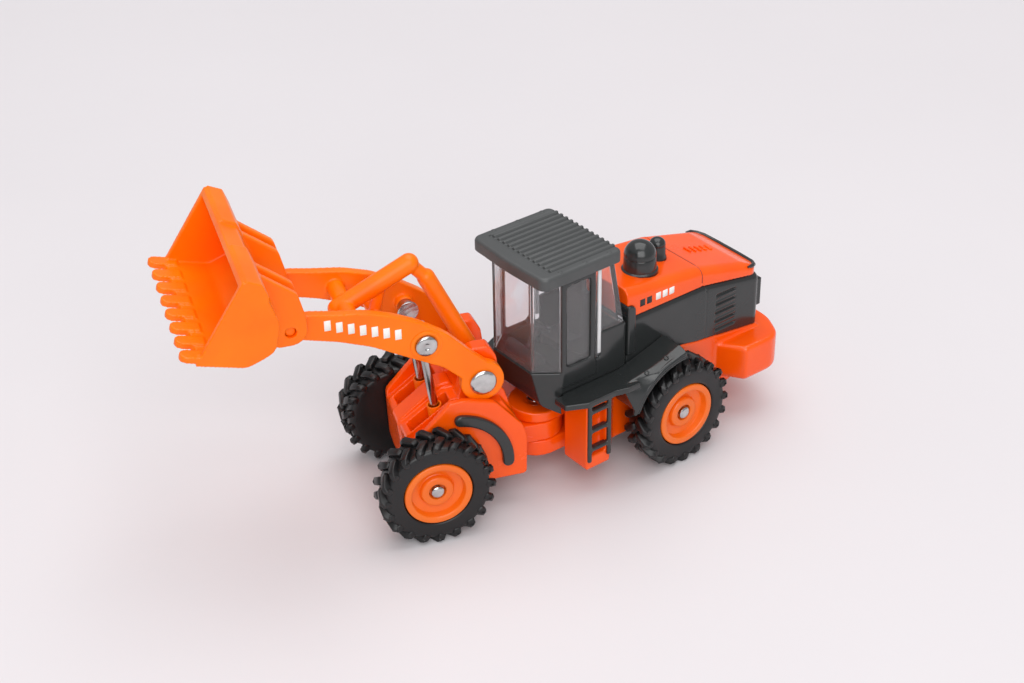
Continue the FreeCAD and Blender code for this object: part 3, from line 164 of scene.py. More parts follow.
@dataclass(frozen=True)
class Finish:
    """A real material with the way its surface was made.

    Sizes are in millimetres.  The colour drifts to the shade in patches, roughness wanders between its
    two values as handling leaves it, and the grain is a bump of the given size and depth.
    """

    name: str
    colour: str
    shade: str
    grain: Grain
    grain_size: float
    grain_depth: float
    roughness: tuple[float, float]
    patch_size: float = 6.0
    smudge_size: float = 3.0
    metallic: float = 0.0
    ior: float = 1.5
    coat: float = 0.0
    coat_roughness: float = 0.08
    bleed: float = 0.0
    clearness: float = 0.0

    def relief(self, tree: Tree, place: Socket) -> Socket:
        """Add the texture of this finish's grain.

        Args:
            tree: Node tree of the material.
            place: Object coordinates in metres.

        Returns:
            Height of the relief, about 0 to 1.
        """
        per_metre = 1.0 / (self.grain_size * MM)
        if self.grain is Grain.SPRAYED:
            cells = add_node(
                tree, "ShaderNodeTexVoronoi", {"feature": "SMOOTH_F1"},
                {"Scale": per_metre, "Smoothness": 1.0}, {"Vector": place},
            )
            return cells.outputs["Distance"]
        if self.grain is Grain.TURNED:
            rings = add_node(
                tree, "ShaderNodeTexWave", {"wave_type": "RINGS", "rings_direction": "SPHERICAL"},
                {"Scale": per_metre / 6, "Distortion": 3.0, "Detail": 3.0, "Detail Scale": 2.0},
                {"Vector": place},
            )
            return rings.outputs["Fac"]
        detail = 6.0 if self.grain is Grain.SPARK else 2.0
        noise = add_node(
            tree, "ShaderNodeTexNoise", {},
            {"Scale": per_metre, "Detail": detail, "Roughness": 0.55}, {"Vector": place},
        )
        return noise.outputs["Fac"]

    def material(self) -> bpy.types.Material:
        """Build the material, or return it if it is there already.

        Returns:
            Node material on object coordinates.
        """
        known = bpy.data.materials.get(self.name)
        if known:
            return known
        made = bpy.data.materials.new(self.name)
        made.use_nodes = True
        tree = made.node_tree
        shader = tree.nodes["Principled BSDF"]
        place = add_node(tree, "ShaderNodeTexCoord").outputs["Object"]
        aged = drift(tree, place, self.patch_size, {"Detail": 4.0}, {"From Min": 0.3, "From Max": 0.7})
        colours = add_node(
            tree, "ShaderNodeMix", {"data_type": "RGBA"},
            {6: linear(self.colour), 7: linear(self.shade)}, {0: aged},
        )
        tree.links.new(colours.outputs[2], shader.inputs["Base Color"])
        low, high = self.roughness
        gloss = drift(
            tree, place, self.smudge_size, {"Detail": 5.0, "Distortion": 0.6},
            {"From Min": 0.35, "From Max": 0.7, "To Min": low, "To Max": high},
        )
        tree.links.new(gloss, shader.inputs["Roughness"])
        bump = add_node(
            tree, "ShaderNodeBump", {}, {"Strength": 1.0, "Distance": self.grain_depth * MM},
            {"Height": self.relief(tree, place)},
        )
        tree.links.new(bump.outputs["Normal"], shader.inputs["Normal"])
        if self.metallic:
            shader.inputs["Metallic"].default_value = self.metallic
        else:
            shader.inputs["IOR"].default_value = self.ior
        shader.inputs["Coat Weight"].default_value = self.coat
        shader.inputs["Coat Roughness"].default_value = self.coat_roughness
        shader.inputs["Transmission Weight"].default_value = self.clearness
        if self.bleed:
            shader.inputs["Subsurface Weight"].default_value = self.bleed
            shader.inputs["Subsurface Radius"].default_value = BLEED_RADIUS
            shader.inputs["Subsurface Scale"].default_value = BLEED_DEPTH * MM
        return made


# Polyacetal, injection moulded: waxy gloss, light bleeds a little through thin walls.
ARM_PLASTIC = Finish(
    "moulded_polyacetal_orange", "#ff7a00", "#ff6e00", Grain.MOULDED, 1.6, 0.005, (0.28, 0.4),
    bleed=0.08, ior=1.36,
)
# Zinc casting under sprayed enamel: deep gloss with a fine orange peel, softer where it pooled.
CHASSIS_ENAMEL = Finish(
    "sprayed_enamel_orange", "#ff5c04", "#fa5200", Grain.SPRAYED, 0.45, 0.005, (0.16, 0.28),
    coat=0.2, ior=1.42,
)
# ABS, injection moulded, polished mould: dark gloss with faint flow marks.
GREY_ABS = Finish("gloss_abs_grey", "#2d2f2f", "#272a2a", Grain.MOULDED, 1.1, 0.005, (0.12, 0.24), ior=1.53)
# The same ABS from a spark-eroded mould: even matt surface.
ROOF_ABS = Finish("matt_abs_grey", "#4a4c4c", "#434545", Grain.SPARK, 0.22, 0.006, (0.42, 0.55), ior=1.53)
# ABS for the wheels: satin orange.
RIM_ABS = Finish("satin_abs_orange", "#f2700a", "#ea6608", Grain.MOULDED, 0.9, 0.006, (0.3, 0.42), ior=1.53)
# Soft PVC tyres: black with a low waxy shine and a slightly dusty skin.
TYRE_PVC = Finish("soft_pvc_black", "#0b0b0c", "#121213", Grain.SPARK, 0.3, 0.008, (0.34, 0.5), ior=1.5)
# Black ABS for the inside of the cab and the closing plates.
BLACK_ABS = Finish("matt_abs_black", "#121212", "#191818", Grain.SPARK, 0.25, 0.008, (0.45, 0.6), ior=1.53)
# Mild steel wire, peened at its ends: bright, with uneven rings from the riveting tool.
PIN_STEEL = Finish(
    "peened_steel", "#d2d2d1", "#b4b4b4", Grain.TURNED, 0.35, 0.008, (0.14, 0.28),
    metallic=1.0, patch_size=1.2,
)
# Drawn steel rod, plated: straight and bright.
ROD_STEEL = Finish(
    "plated_steel_rod", "#c9c8c6", "#a9a8a6", Grain.MOULDED, 0.8, 0.004, (0.12, 0.22),
    metallic=1.0, patch_size=2.5,
)
# Polystyrene glazing, clear but a little milky; moulded in a polished tool, so only slightly wavy.
GLAZING = Finish(
    "clear_polystyrene", "#ffffff", "#fbfafd", Grain.MOULDED, 5.0, 0.012, (0.01, 0.03),
    ior=1.38, clearness=0.95,
)
# The same polystyrene where a thick edge shows, milky white along its whole length: partly the clear edge
# itself, partly a painted highlight of the bright reflection along the door pillar.
CLEAR_EDGE_PAINTED_HIGHLIGHT = Finish(
    "clear_polystyrene_edge", "#ffffff", "#f6f5f8", Grain.MOULDED, 3.0, 0.006, (0.1, 0.2),
    ior=1.45, clearness=0.3,
)
# Painted shade: a dark orange line laid in the fine seam of the hood, the casting's orange as it looks in
# the deep shade at the bottom of the seam.
SEAM_PAINTED_SHADE = Finish("enamel_in_seam", "#a02e06", "#8c2804", Grain.MOULDED, 0.5, 0.002, (0.4, 0.5))
# Pad-printed ink: thin, even and half matt.
PRINT_WHITE = Finish("pad_print_white", "#f3f1ec", "#eae8e2", Grain.SPARK, 0.15, 0.002, (0.4, 0.5))
PRINT_BLACK = Finish("pad_print_black", "#242323", "#2c2a2a", Grain.SPARK, 0.15, 0.002, (0.4, 0.5))


# ---- frames and meshes ------------------------------------
@dataclass(frozen=True)
class HalfFrame:
    """Where one half of the loader stands: its steering axis on the ground and its directions."""

    origin: Vector
    forward: Vector
    left: Vector

    def matrix(self) -> Matrix:
        """Matrix from this half's millimetres to the model's metres."""
        columns = [self.forward, self.left, Vector((0, 0, 1))]
        turn = Matrix([[column[row] for column in columns] for row in range(3)]).to_4x4()
        return Matrix.Translation(self.origin) @ turn @ Matrix.Scale(MM, 4)


def joint_named(frame: dict, name: str) -> dict:
    """The joint of that name."""
    return next(joint for joint in frame["joints"] if joint["name"] == name)


def rear_frame(frame: dict) -> HalfFrame:
    """Frame of the rear half, from the steering joint of the loaded frame."""
    place = Vector(joint_named(frame, "articulation")["pos_m"])
    return HalfFrame(Vector((place.x, place.y, 0)), Vector((1, 0, 0)), Vector((0, 1, 0)))


def front_frame(frame: dict) -> HalfFrame:
    """Frame of the front half as it is turned at rest, from the lift joint's axis."""
    left = -Vector(joint_named(frame, "boom_lift")["axis"]).normalized()
    return HalfFrame(rear_frame(frame).origin, left.cross(Vector((0, 0, 1))), left)


def linked_object(name: str, data: bpy.types.ID) -> Object:
    """New object of that data, linked to the scene."""
    made = bpy.data.objects.new(name, data)
    bpy.context.scene.collection.objects.link(made)
    return made


def finished_object(name: str, mesh: Mesh, finish: Finish) -> Object:
    """Put a mesh into the scene with its finish.

    Args:
        name: Name of the piece.
        mesh: Mesh in the model's metres.
        finish: Finish of the whole piece.

    Returns:
        The new object.
    """
    mesh.materials.clear()
    mesh.materials.append(finish.material())
    return linked_object(name, mesh)


def put_on(piece: Object, body: str, stands_for: tuple[str, ...] = ()) -> Object:
    """Fix a piece to a body and report it.

    Args:
        piece: The piece, in place.
        body: Body that it rides on.
        stands_for: CAD nodes that it is shown instead of.

    Returns:
        The piece.
    """
    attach(piece, body)
    if stands_for:
        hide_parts(*stands_for)
    LOG.info("%s on %s, %d faces", piece.name, body, len(piece.data.polygons))
    return piece


def show(
    name: str, mesh: Mesh, finish: Finish, body: str,
    stands_for: tuple[str, ...] = (),
) -> None:
    """Put a placed mesh into the scene with its finish and fix it to a body."""
    put_on(finished_object(name, mesh, finish), body, stands_for)


def smooth(mesh: Mesh, crease_degrees: float = 38.0) -> Mesh:
    """Shade a mesh smooth and keep its creases.

    Args:
        mesh: The mesh.
        crease_degrees: Angle from which an edge stays sharp.

    Returns:
        The same mesh.
    """
    mesh.shade_smooth()
    mesh.set_sharp_from_angle(angle=math.radians(crease_degrees))
    return mesh


def plain_mesh(name: str, work: Work) -> Mesh:
    """Turn a working mesh into a mesh and free it."""
    mesh = bpy.data.meshes.new(name)
    work.to_mesh(mesh)
    work.free()
    return mesh


def to_mesh(name: str, work: Work, crease_degrees: float = 38.0) -> Mesh:
    """Close a working mesh off: doubles merged, faces outwards, shaded smooth.

    Args:
        name: Name of the mesh.
        work: Working mesh, which is freed.
        crease_degrees: Angle from which an edge stays sharp.

    Returns:
        The finished mesh.
    """
    bmesh.ops.remove_doubles(work, verts=work.verts, dist=1e-6)
    bmesh.ops.recalc_face_normals(work, faces=work.faces)
    return smooth(plain_mesh(name, work), crease_degrees)


def revolved(name: str, profile: Outline, segments: int = 96, closed: bool = True) -> Mesh:
    """Turn a profile about the Y axis.

    Args:
        name: Name of the mesh.
        profile: (radius, y) points; a radius of zero makes a pole.
        segments: Steps round the axis.
        closed: True if the last point joins the first.

    Returns:
        The turned mesh.
    """
    work = bmesh.new()
    rings = []
    for radius, y in profile:
        if radius == 0:
            rings.append([work.verts.new((0, y, 0))] * segments)
            continue
        turns = [math.tau * i / segments for i in range(segments)]
        rings.append([work.verts.new((radius * math.cos(t), y, radius * math.sin(t))) for t in turns])
    pairs = list(zip(rings, rings[1:] + rings[:1] if closed else rings[1:]))
    for first, second in pairs:
        for i in range(segments):
            j = (i + 1) % segments
            corners = list(dict.fromkeys([first[i], first[j], second[j], second[i]]))
            if len(corners) > 2:
                work.faces.new(corners)
    return to_mesh(name, work)


def rounded_box(name: str, size: Point, radius: float, segments: int = 3) -> Mesh:
    """Small block with rounded edges, centred on its own origin.

    Args:
        name: Name of the mesh.
        size: Lengths along x, y and z.
        radius: Radius of its edges.
        segments: Steps across a rounded edge.

    Returns:
        The block.
    """
    work = bmesh.new()
    bmesh.ops.create_cube(work, size=1.0)
    bmesh.ops.scale(work, vec=size, verts=work.verts)
    bmesh.ops.bevel(
        work, geom=list(work.edges), offset=radius, segments=segments, profile=0.5, affect="EDGES",
        clamp_overlap=True,
    )
    return to_mesh(name, work, 60)


def oval(wide: float, high: float, lift: float = 0.0, count: int = 12) -> Outline:
    """Points of an oval of those half axes, its middle lifted."""
    turns = [math.tau * k / count for k in range(count)]
    return [(wide * math.cos(t), high * math.sin(t) + lift) for t in turns]


def swept(name: str, path: list[Vector], ups: list[Vector], sections: list[Outline]) -> Mesh:
    """Loft outlines along a path, closed at both ends.

    Args:
        name: Name of the mesh.
        path: Stations of the path.
        ups: Outward direction at each station.
        sections: (across, up) outline at each station, all with the same number of points.

    Returns:
        The lofted mesh.
    """
    work = bmesh.new()
    rings = []
    for i, (station, up, section) in enumerate(zip(path, ups, sections)):
        along = (path[min(i + 1, len(path) - 1)] - path[max(i - 1, 0)]).normalized()
        across = along.cross(up).normalized()
        rings.append([work.verts.new(station + across * a + up * b) for a, b in section])
    for first, second in zip(rings[:-1], rings[1:]):
        for i in range(len(first)):
            j = (i + 1) % len(first)
            work.faces.new([first[i], first[j], second[j], second[i]])
    work.faces.new(rings[0])
    work.faces.new(rings[-1])
    return to_mesh(name, work, 70)


def evaluated(carrier: Object) -> Mesh:
    """Turn an object with modifiers into a plain mesh and remove the object.

    Args:
        carrier: Object with its modifiers set.

    Returns:
        Mesh with the modifiers in it.
    """
    graph = bpy.context.evaluated_depsgraph_get()
    mesh = bpy.data.meshes.new_from_object(carrier.evaluated_get(graph), depsgraph=graph)
    bpy.data.objects.remove(carrier)
    return mesh


def welded(node: Object, distance: float) -> Work:
    """Working copy of a CAD piece, its corners merged within a distance in millimetres."""
    work = bmesh.new()
    work.from_mesh(node.data)
    bmesh.ops.remove_doubles(work, verts=work.verts, dist=distance * MM)
    return work


def softened(node: Object, name: str, radius: float, finish: Finish) -> Object:
    """Copy a CAD piece and round its edges as casting and moulding leave them.

    Args:
        node: CAD node, which is not changed.
        name: Name of the new piece.
        radius: Radius of the edges in millimetres.
        finish: Finish of the piece.

    Returns:
        The new piece.
    """
    work = welded(node, 2 * WELD)
    bmesh.ops.dissolve_limit(
        work, angle_limit=math.radians(FLAT_DEGREES), verts=work.verts, edges=work.edges
    )
    sharp = [
        edge for edge in work.edges
        if len(edge.link_faces) == 2 and edge.calc_face_angle() > math.radians(SHARP_DEGREES)
    ]
    bmesh.ops.bevel(
        work, geom=sharp, offset=radius * MM, segments=3, profile=0.5, affect="EDGES",
        clamp_overlap=False, loop_slide=True,
    )
    carrier = linked_object(name + "_work", smooth(plain_mesh(name, work), 42))
    even = carrier.modifiers.new("even_shading", "WEIGHTED_NORMAL")
    even.keep_sharp = True
    return finished_object(name, evaluated(carrier), finish)


@dataclass(frozen=True)
class Softness:
    """How far casting or moulding has rounded a piece: mesh pitch in mm, smoothing rounds, faces kept."""

    pitch: float
    rounds: int
    keep: float


def cast(node: Object, name: str, soft: Softness, finish: Finish) -> Object:
    """Copy a CAD piece with its corners filled and its edges rounded, as a casting or moulding has them.

    Args:
        node: CAD node, which is not changed.
        name: Name of the new piece.
        soft: How far it is rounded.
        finish: Finish of the piece.

    Returns:
        The new piece.
    """
    carrier = linked_object(name + "_work", plain_mesh(name, welded(node, WELD)))
    even = carrier.modifiers.new("even_mesh", "REMESH")
    even.mode, even.voxel_size, even.use_smooth_shade = "VOXEL", soft.pitch * MM, True
    rounding = carrier.modifiers.new("rounding", "SMOOTH")
    rounding.factor, rounding.iterations = 0.5, soft.rounds
    thinning = carrier.modifiers.new("thinning", "DECIMATE")
    thinning.ratio = soft.keep
    made = evaluated(carrier)
    made.shade_smooth()
    return finished_object(name, made, finish)


def show_cast(
    nodes: dict, node: str, ending: str, soft: Softness, finish: Finish, body: str
) -> Object:
    """Fix a cast copy of a CAD piece to a body, to be shown instead of it."""
    return put_on(cast(nodes[node], node + ending, soft, finish), body, (node,))


def show_softened(
    nodes: dict, node: str, ending: str, radius: float, finish: Finish, body: str
) -> Object:
    """Fix a softened copy of a CAD piece to a body, to be shown instead of it."""
    return put_on(softened(nodes[node], node + ending, radius, finish), body, (node,))


# ---- repeated pieces --------------------------------------
class Repeat(Enum):
    """How a repeated piece is laid out."""

    ROW = "row"
    RING = "ring"


def repeat_tree(layout: Repeat) -> Tree:
    """Geometry Nodes tree that lays out copies of a piece in a row or round the Y axis.

    Args:
        layout: Row or ring.

    Returns:
        The tree, built once.
    """
    name = "repeat_" + layout.value
    known = bpy.data.node_groups.get(name)
    if known:
        return known
    tree = bpy.data.node_groups.new(name, "GeometryNodeTree")
    sockets = {
        "Geometry": "Geometry", "Piece": "Object", "Count": "Int", "Start": "Vector", "Step": "Vector",
        "Phase": "Float", "Seed": "Int", "Finish": "Material",
    }
    for label, kind in sockets.items():
        tree.interface.new_socket(label, in_out="INPUT", socket_type="NodeSocket" + kind)
    tree.interface.new_socket("Geometry", in_out="OUTPUT", socket_type="NodeSocketGeometry")
    given = add_node(tree, "NodeGroupInput").outputs
    piece = add_node(tree, "GeometryNodeObjectInfo", {}, {}, {"Object": given["Piece"]})
    line = add_node(
        tree, "GeometryNodeMeshLine", {"mode": "OFFSET"}, {},
        {"Count": given["Count"], "Start Location": given["Start"], "Offset": given["Step"]},
    )
    spots = {"Points": line.outputs["Mesh"], "Instance": piece.outputs["Geometry"]}
    if layout is Repeat.RING:
        turn = add_node(
            tree, "ShaderNodeMath", {"operation": "DIVIDE"}, {0: math.tau}, {1: given["Count"]}
        )
        index = add_node(tree, "GeometryNodeInputIndex")
        wobble = add_node(
            tree, "FunctionNodeRandomValue", {"data_type": "FLOAT"},
            {2: -RING_PLAY, 3: RING_PLAY}, {"Seed": given["Seed"]},
        )
        angle = add_node(
            tree, "ShaderNodeMath", {"operation": "MULTIPLY_ADD"}, {},
            {0: index.outputs[0], 1: turn.outputs[0], 2: given["Phase"]},
        )
        uneven = add_node(
            tree, "ShaderNodeMath", {"operation": "ADD"}, {}, {0: angle.outputs[0], 1: wobble.outputs[1]}
        )
        spin = add_node(tree, "ShaderNodeCombineXYZ", {}, {}, {"Y": uneven.outputs[0]})
        spots["Rotation"] = spin.outputs[0]
    copies = add_node(tree, "GeometryNodeInstanceOnPoints", {}, {}, spots)
    real = add_node(tree, "GeometryNodeRealizeInstances", {}, {}, {"Geometry": copies.outputs["Instances"]})
    dressed = add_node(
        tree, "GeometryNodeSetMaterial", {}, {}, {"Geometry": real.outputs[0], "Material": given["Finish"]}
    )
    add_node(tree, "NodeGroupOutput", {}, {}, {"Geometry": dressed.outputs[0]})
    return tree


def repeated(
    name: str, template: Mesh, layout: Repeat, count: int, finish: Finish,
    start: Point = (0, 0, 0), step: Point = (0, 0, 0), phase: float = 0.0,
) -> Mesh:
    """Lay out copies of a small mesh and return them as one plain mesh.

    Args:
        name: Name of the mesh.
        template: The small mesh, in millimetres.
        layout: Row or ring.
        count: Number of copies.
        finish: Finish of the copies.
        start: Place of the first copy of a row.
        step: Distance to the next copy of a row.
        phase: Angle of the first copy of a ring, in radians.

    Returns:
        All copies in one mesh, in millimetres.
    """
    tree = repeat_tree(layout)
    source = bpy.data.objects.new(name + "_source", template)
    carrier = linked_object(name + "_work", bpy.data.meshes.new(name + "_work"))
    modifier = carrier.modifiers.new("repeat", "NODES")
    modifier.node_group = tree
    values = {
        "Piece": source, "Count": count, "Start": start, "Step": step, "Phase": phase,
        "Seed": SEED, "Finish": finish.material(),
    }
    for item in tree.interface.items_tree:
        if item.in_out == "INPUT" and item.name in values:
            modifier[item.identifier] = values[item.name]
    mesh = evaluated(carrier)
    bpy.data.objects.remove(source)
    return mesh


def merged(name: str, parts: list[Mesh]) -> Mesh:
    """Put several meshes into one.

    Args:
        name: Name of the new mesh.
        parts: Meshes in the same frame.

    Returns:
        One mesh with all of them.
    """
    work = bmesh.new()
    for part in parts:
        work.from_mesh(part)
    return smooth(plain_mesh(name, work), 60)


def moved(mesh: Mesh, place: Matrix) -> Mesh:
    """Apply a place to a mesh and return it."""
    mesh.transform(place)
    return mesh


def mirrored(mesh: Mesh) -> Mesh:
    """Copy a mesh to the other side of the middle plane, faces outwards.

    Args:
        mesh: Mesh in a half's millimetres.

    Returns:
        The mirror image.
    """
    copy = mesh.copy()
    copy.transform(Matrix.Scale(-1, 4, (0, 1, 0)))
    copy.flip_normals()
    return copy


def both_sides(name: str, left: Mesh) -> Mesh:
    """A mesh of the left side and its mirror image in one mesh."""
    return merged(name, [left, mirrored(left)])


def beside(radius: float, y: float, steps: Outline) -> Outline:
    """Points of a profile at those steps from a radius and a height."""
    return [(radius + out, y + up) for out, up in steps]


def double_ended(tip: Outline) -> Outline:
    """Profile of a pin from one end to the other, both ends like the given one."""
    return [(radius, -y) for radius, y in reversed(tip)] + tip


def surface_of(piece: Object) -> BVHTree:
    """Surface of a piece, on which smaller ones are laid."""
    corners = [vertex.co for vertex in piece.data.vertices]
    return BVHTree.FromPolygons(corners, [face.vertices for face in piece.data.polygons])


# ---- wheels -----------------------------------------------
@dataclass
class Wheel:
    """A lugged tyre on a dished rim, drawn round Y with its outer side towards +y."""

    place: Matrix
    body: str
    rim_node: str
    tyre_node: str
    radius: float = 7.5
    half_width: float = 2.1
    tread_depth: float = 0.72
    lug_count: int = 20
    lug_width: float = 1.0
    lug_lead: float = 0.17
    rim_radius: float = 4.4

    def carcass(self) -> Mesh:
        """Tyre without its lugs: beads, bulged sides and a plain tread."""
        base = self.radius - self.tread_depth
        rim, half = self.rim_radius, self.half_width
        outer = beside(rim, half, [
            (-0.35, -0.75), (0.04, -0.5), (0.1, -0.2), (0.22, -0.06), (0.45, -0.02), (1.4, -0.02),
        ])
        outer += beside(base, half, [(-0.5, -0.04), (-0.26, -0.12), (-0.08, -0.32), (0, -0.7), (0.03, -1.4)])
        inner = [(radius, -y) for radius, y in reversed(outer[4:])]
        web = [(rim - 0.2, 0.1 - half), (1.2, 0.12 - half), (1.2, 0.34 - half), (rim - 0.35, 0.34 - half)]
        return revolved("carcass", outer + inner + web, 112)

    def lug(self) -> Mesh:
        """One finger of the outer row: from the middle of the tread, round the shoulder, down the side."""
        base, half = self.radius - self.tread_depth, self.half_width
        depth, lead = self.tread_depth, self.lug_lead
        # Distance out, radius under the lug, lead in radians, height, share of the width, lean in degrees.
        stations = [
            (0.02, -0.1, lead, depth * 0.5, 0.5, 0), (0.16, -0.1, lead * 0.96, depth - 0.02, 0.84, 0),
            (0.5, -0.1, lead * 0.78, depth + 0.1, 0.98, 0), (1.0, -0.1, lead * 0.42, depth + 0.1, 1.0, 0),
            (half - 0.5, -0.1, lead * 0.08, depth + 0.1, 1.0, 6), (half - 0.46, 0.1, 0.0, 0.62, 1.0, 45),
            (half - 0.29, 0.1, -0.01, 0.38, 1.0, 74), (half - 0.2, -0.15, -0.02, 0.3, 1.0, 87),
            (half - 0.18, -0.38, -0.035, 0.27, 0.96, 88), (half - 0.17, -0.5, -0.045, 0.2, 0.86, 88),
            (half - 0.15, -0.58, -0.05, 0.08, 0.7, 88), (half - 0.15, -0.6, -0.05, 0.0, 0.6, 88),
        ]
        path, ups, sections = [], [], []
        for out, sunk, ahead, high, share, degrees in stations:
            angle = math.pi / 2 + ahead
            outward = Vector((math.cos(angle), 0, math.sin(angle)))
            tilt = math.radians(degrees)
            path.append(outward * (base + sunk) + Vector((0, out, 0)))
            ups.append(outward * math.cos(tilt) + Vector((0, 1, 0)) * math.sin(tilt))
            w = self.lug_width * share / 2
            edge = min(0.16, w * 0.4, high * 0.6)
            sections.append([
                (-w - 0.04, -0.15), (-w, high - edge), (-w + edge * 0.3, high - edge * 0.3),
                (-w + edge, high), (w - edge, high), (w - edge * 0.3, high - edge * 0.3),
                (w, high - edge), (w + 0.04, -0.15), (0, -0.2),
            ])
        return swept("lug", path, ups, sections)

    def tread(self) -> Mesh:
        """Both rows of lugs, the inner row half a pitch on."""
        count = self.lug_count
        outer = repeated("outer_lugs", self.lug(), Repeat.RING, count, TYRE_PVC)
        far = mirrored(self.lug())
        inner = repeated("inner_lugs", far, Repeat.RING, count, TYRE_PVC, phase=math.pi / count)
        return merged("tread", [outer, inner])

    def rim(self) -> Mesh:
        """Dished rim: flat lip ring, step, shallow cone, raised ring and recess round the axle."""
        rim, half = self.rim_radius, self.half_width
        profile = [(0.6, 0.5 - half), (1.4, 0.5 - half), (1.45, -0.4), (3.3, -0.4), (3.5, 0.5 - half)]
        profile += [(4.0, 0.5 - half), (4.02, half - 0.6)]
        profile += beside(rim, half, [
            (-0.04, -0.52), (0, -0.42), (-0.01, -0.16), (-0.08, -0.05), (-0.2, 0), (-0.74, 0),
            (-0.86, -0.06), (-0.93, -0.2), (-0.98, -0.86), (-1.06, -1.0), (-1.9, -1.22), (-2.1, -1.26),
            (-2.2, -1.18), (-2.26, -0.8), (-2.36, -0.62), (-2.5, -0.56), (-3.14, -0.56), (-3.26, -0.62),
            (-3.34, -0.8), (-3.4, -1.3),
        ])
        profile.append((0.6, half - 1.32))
        return revolved("rim", profile, 96)

    def build(self) -> None:
        """Make the tyre and the rim and put them on the wheel's body."""
        tyre = merged(self.body + "_tyre", [self.carcass(), self.tread()])
        name = self.body.replace("_wheel", "")
        tyre, rim = moved(tyre, self.place), moved(self.rim(), self.place)
        show(name + "_lugged_tyre", tyre, TYRE_PVC, self.body, (self.tyre_node,))
        show(name + "_dished_rim", rim, RIM_ABS, self.body, (self.rim_node,))


@dataclass
class Axle:
    """Steel wire axle, peened over to a low head at each end."""

    half: HalfFrame
    x: float
    body: str
    node: str
    height: float = 7.5
    wire_radius: float = 0.55
    head_radius: float = 0.82
    reach: float = 11.3

    def build(self) -> None:
        """Make the axle and put it on its half."""
        end, head, wire = self.reach, self.head_radius, self.wire_radius
        tip = [(wire, end - 0.5)]
        tip += beside(head, end, [(-0.1, -0.5), (0, -0.36), (-0.02, -0.18), (-0.16, -0.06)])
        tip += [(head * 0.55, end - 0.01), (head * 0.2, end - 0.03), (0, end - 0.03)]
        mesh = revolved(self.node, double_ended(tip), 48, closed=False)
        mesh = moved(mesh, self.half.matrix() @ Matrix.Translation((self.x, 0, self.height)))
        show(self.node + "_peened", mesh, PIN_STEEL, self.body, (self.node,))


# Ring with a sunk middle, as (radius, height).
DIMPLE = [(0.0, 0.0), (0.34, 0.0), (0.34, 0.1), (0.27, 0.15), (0.2, 0.12), (0.16, 0.03), (0.0, 0.02)]


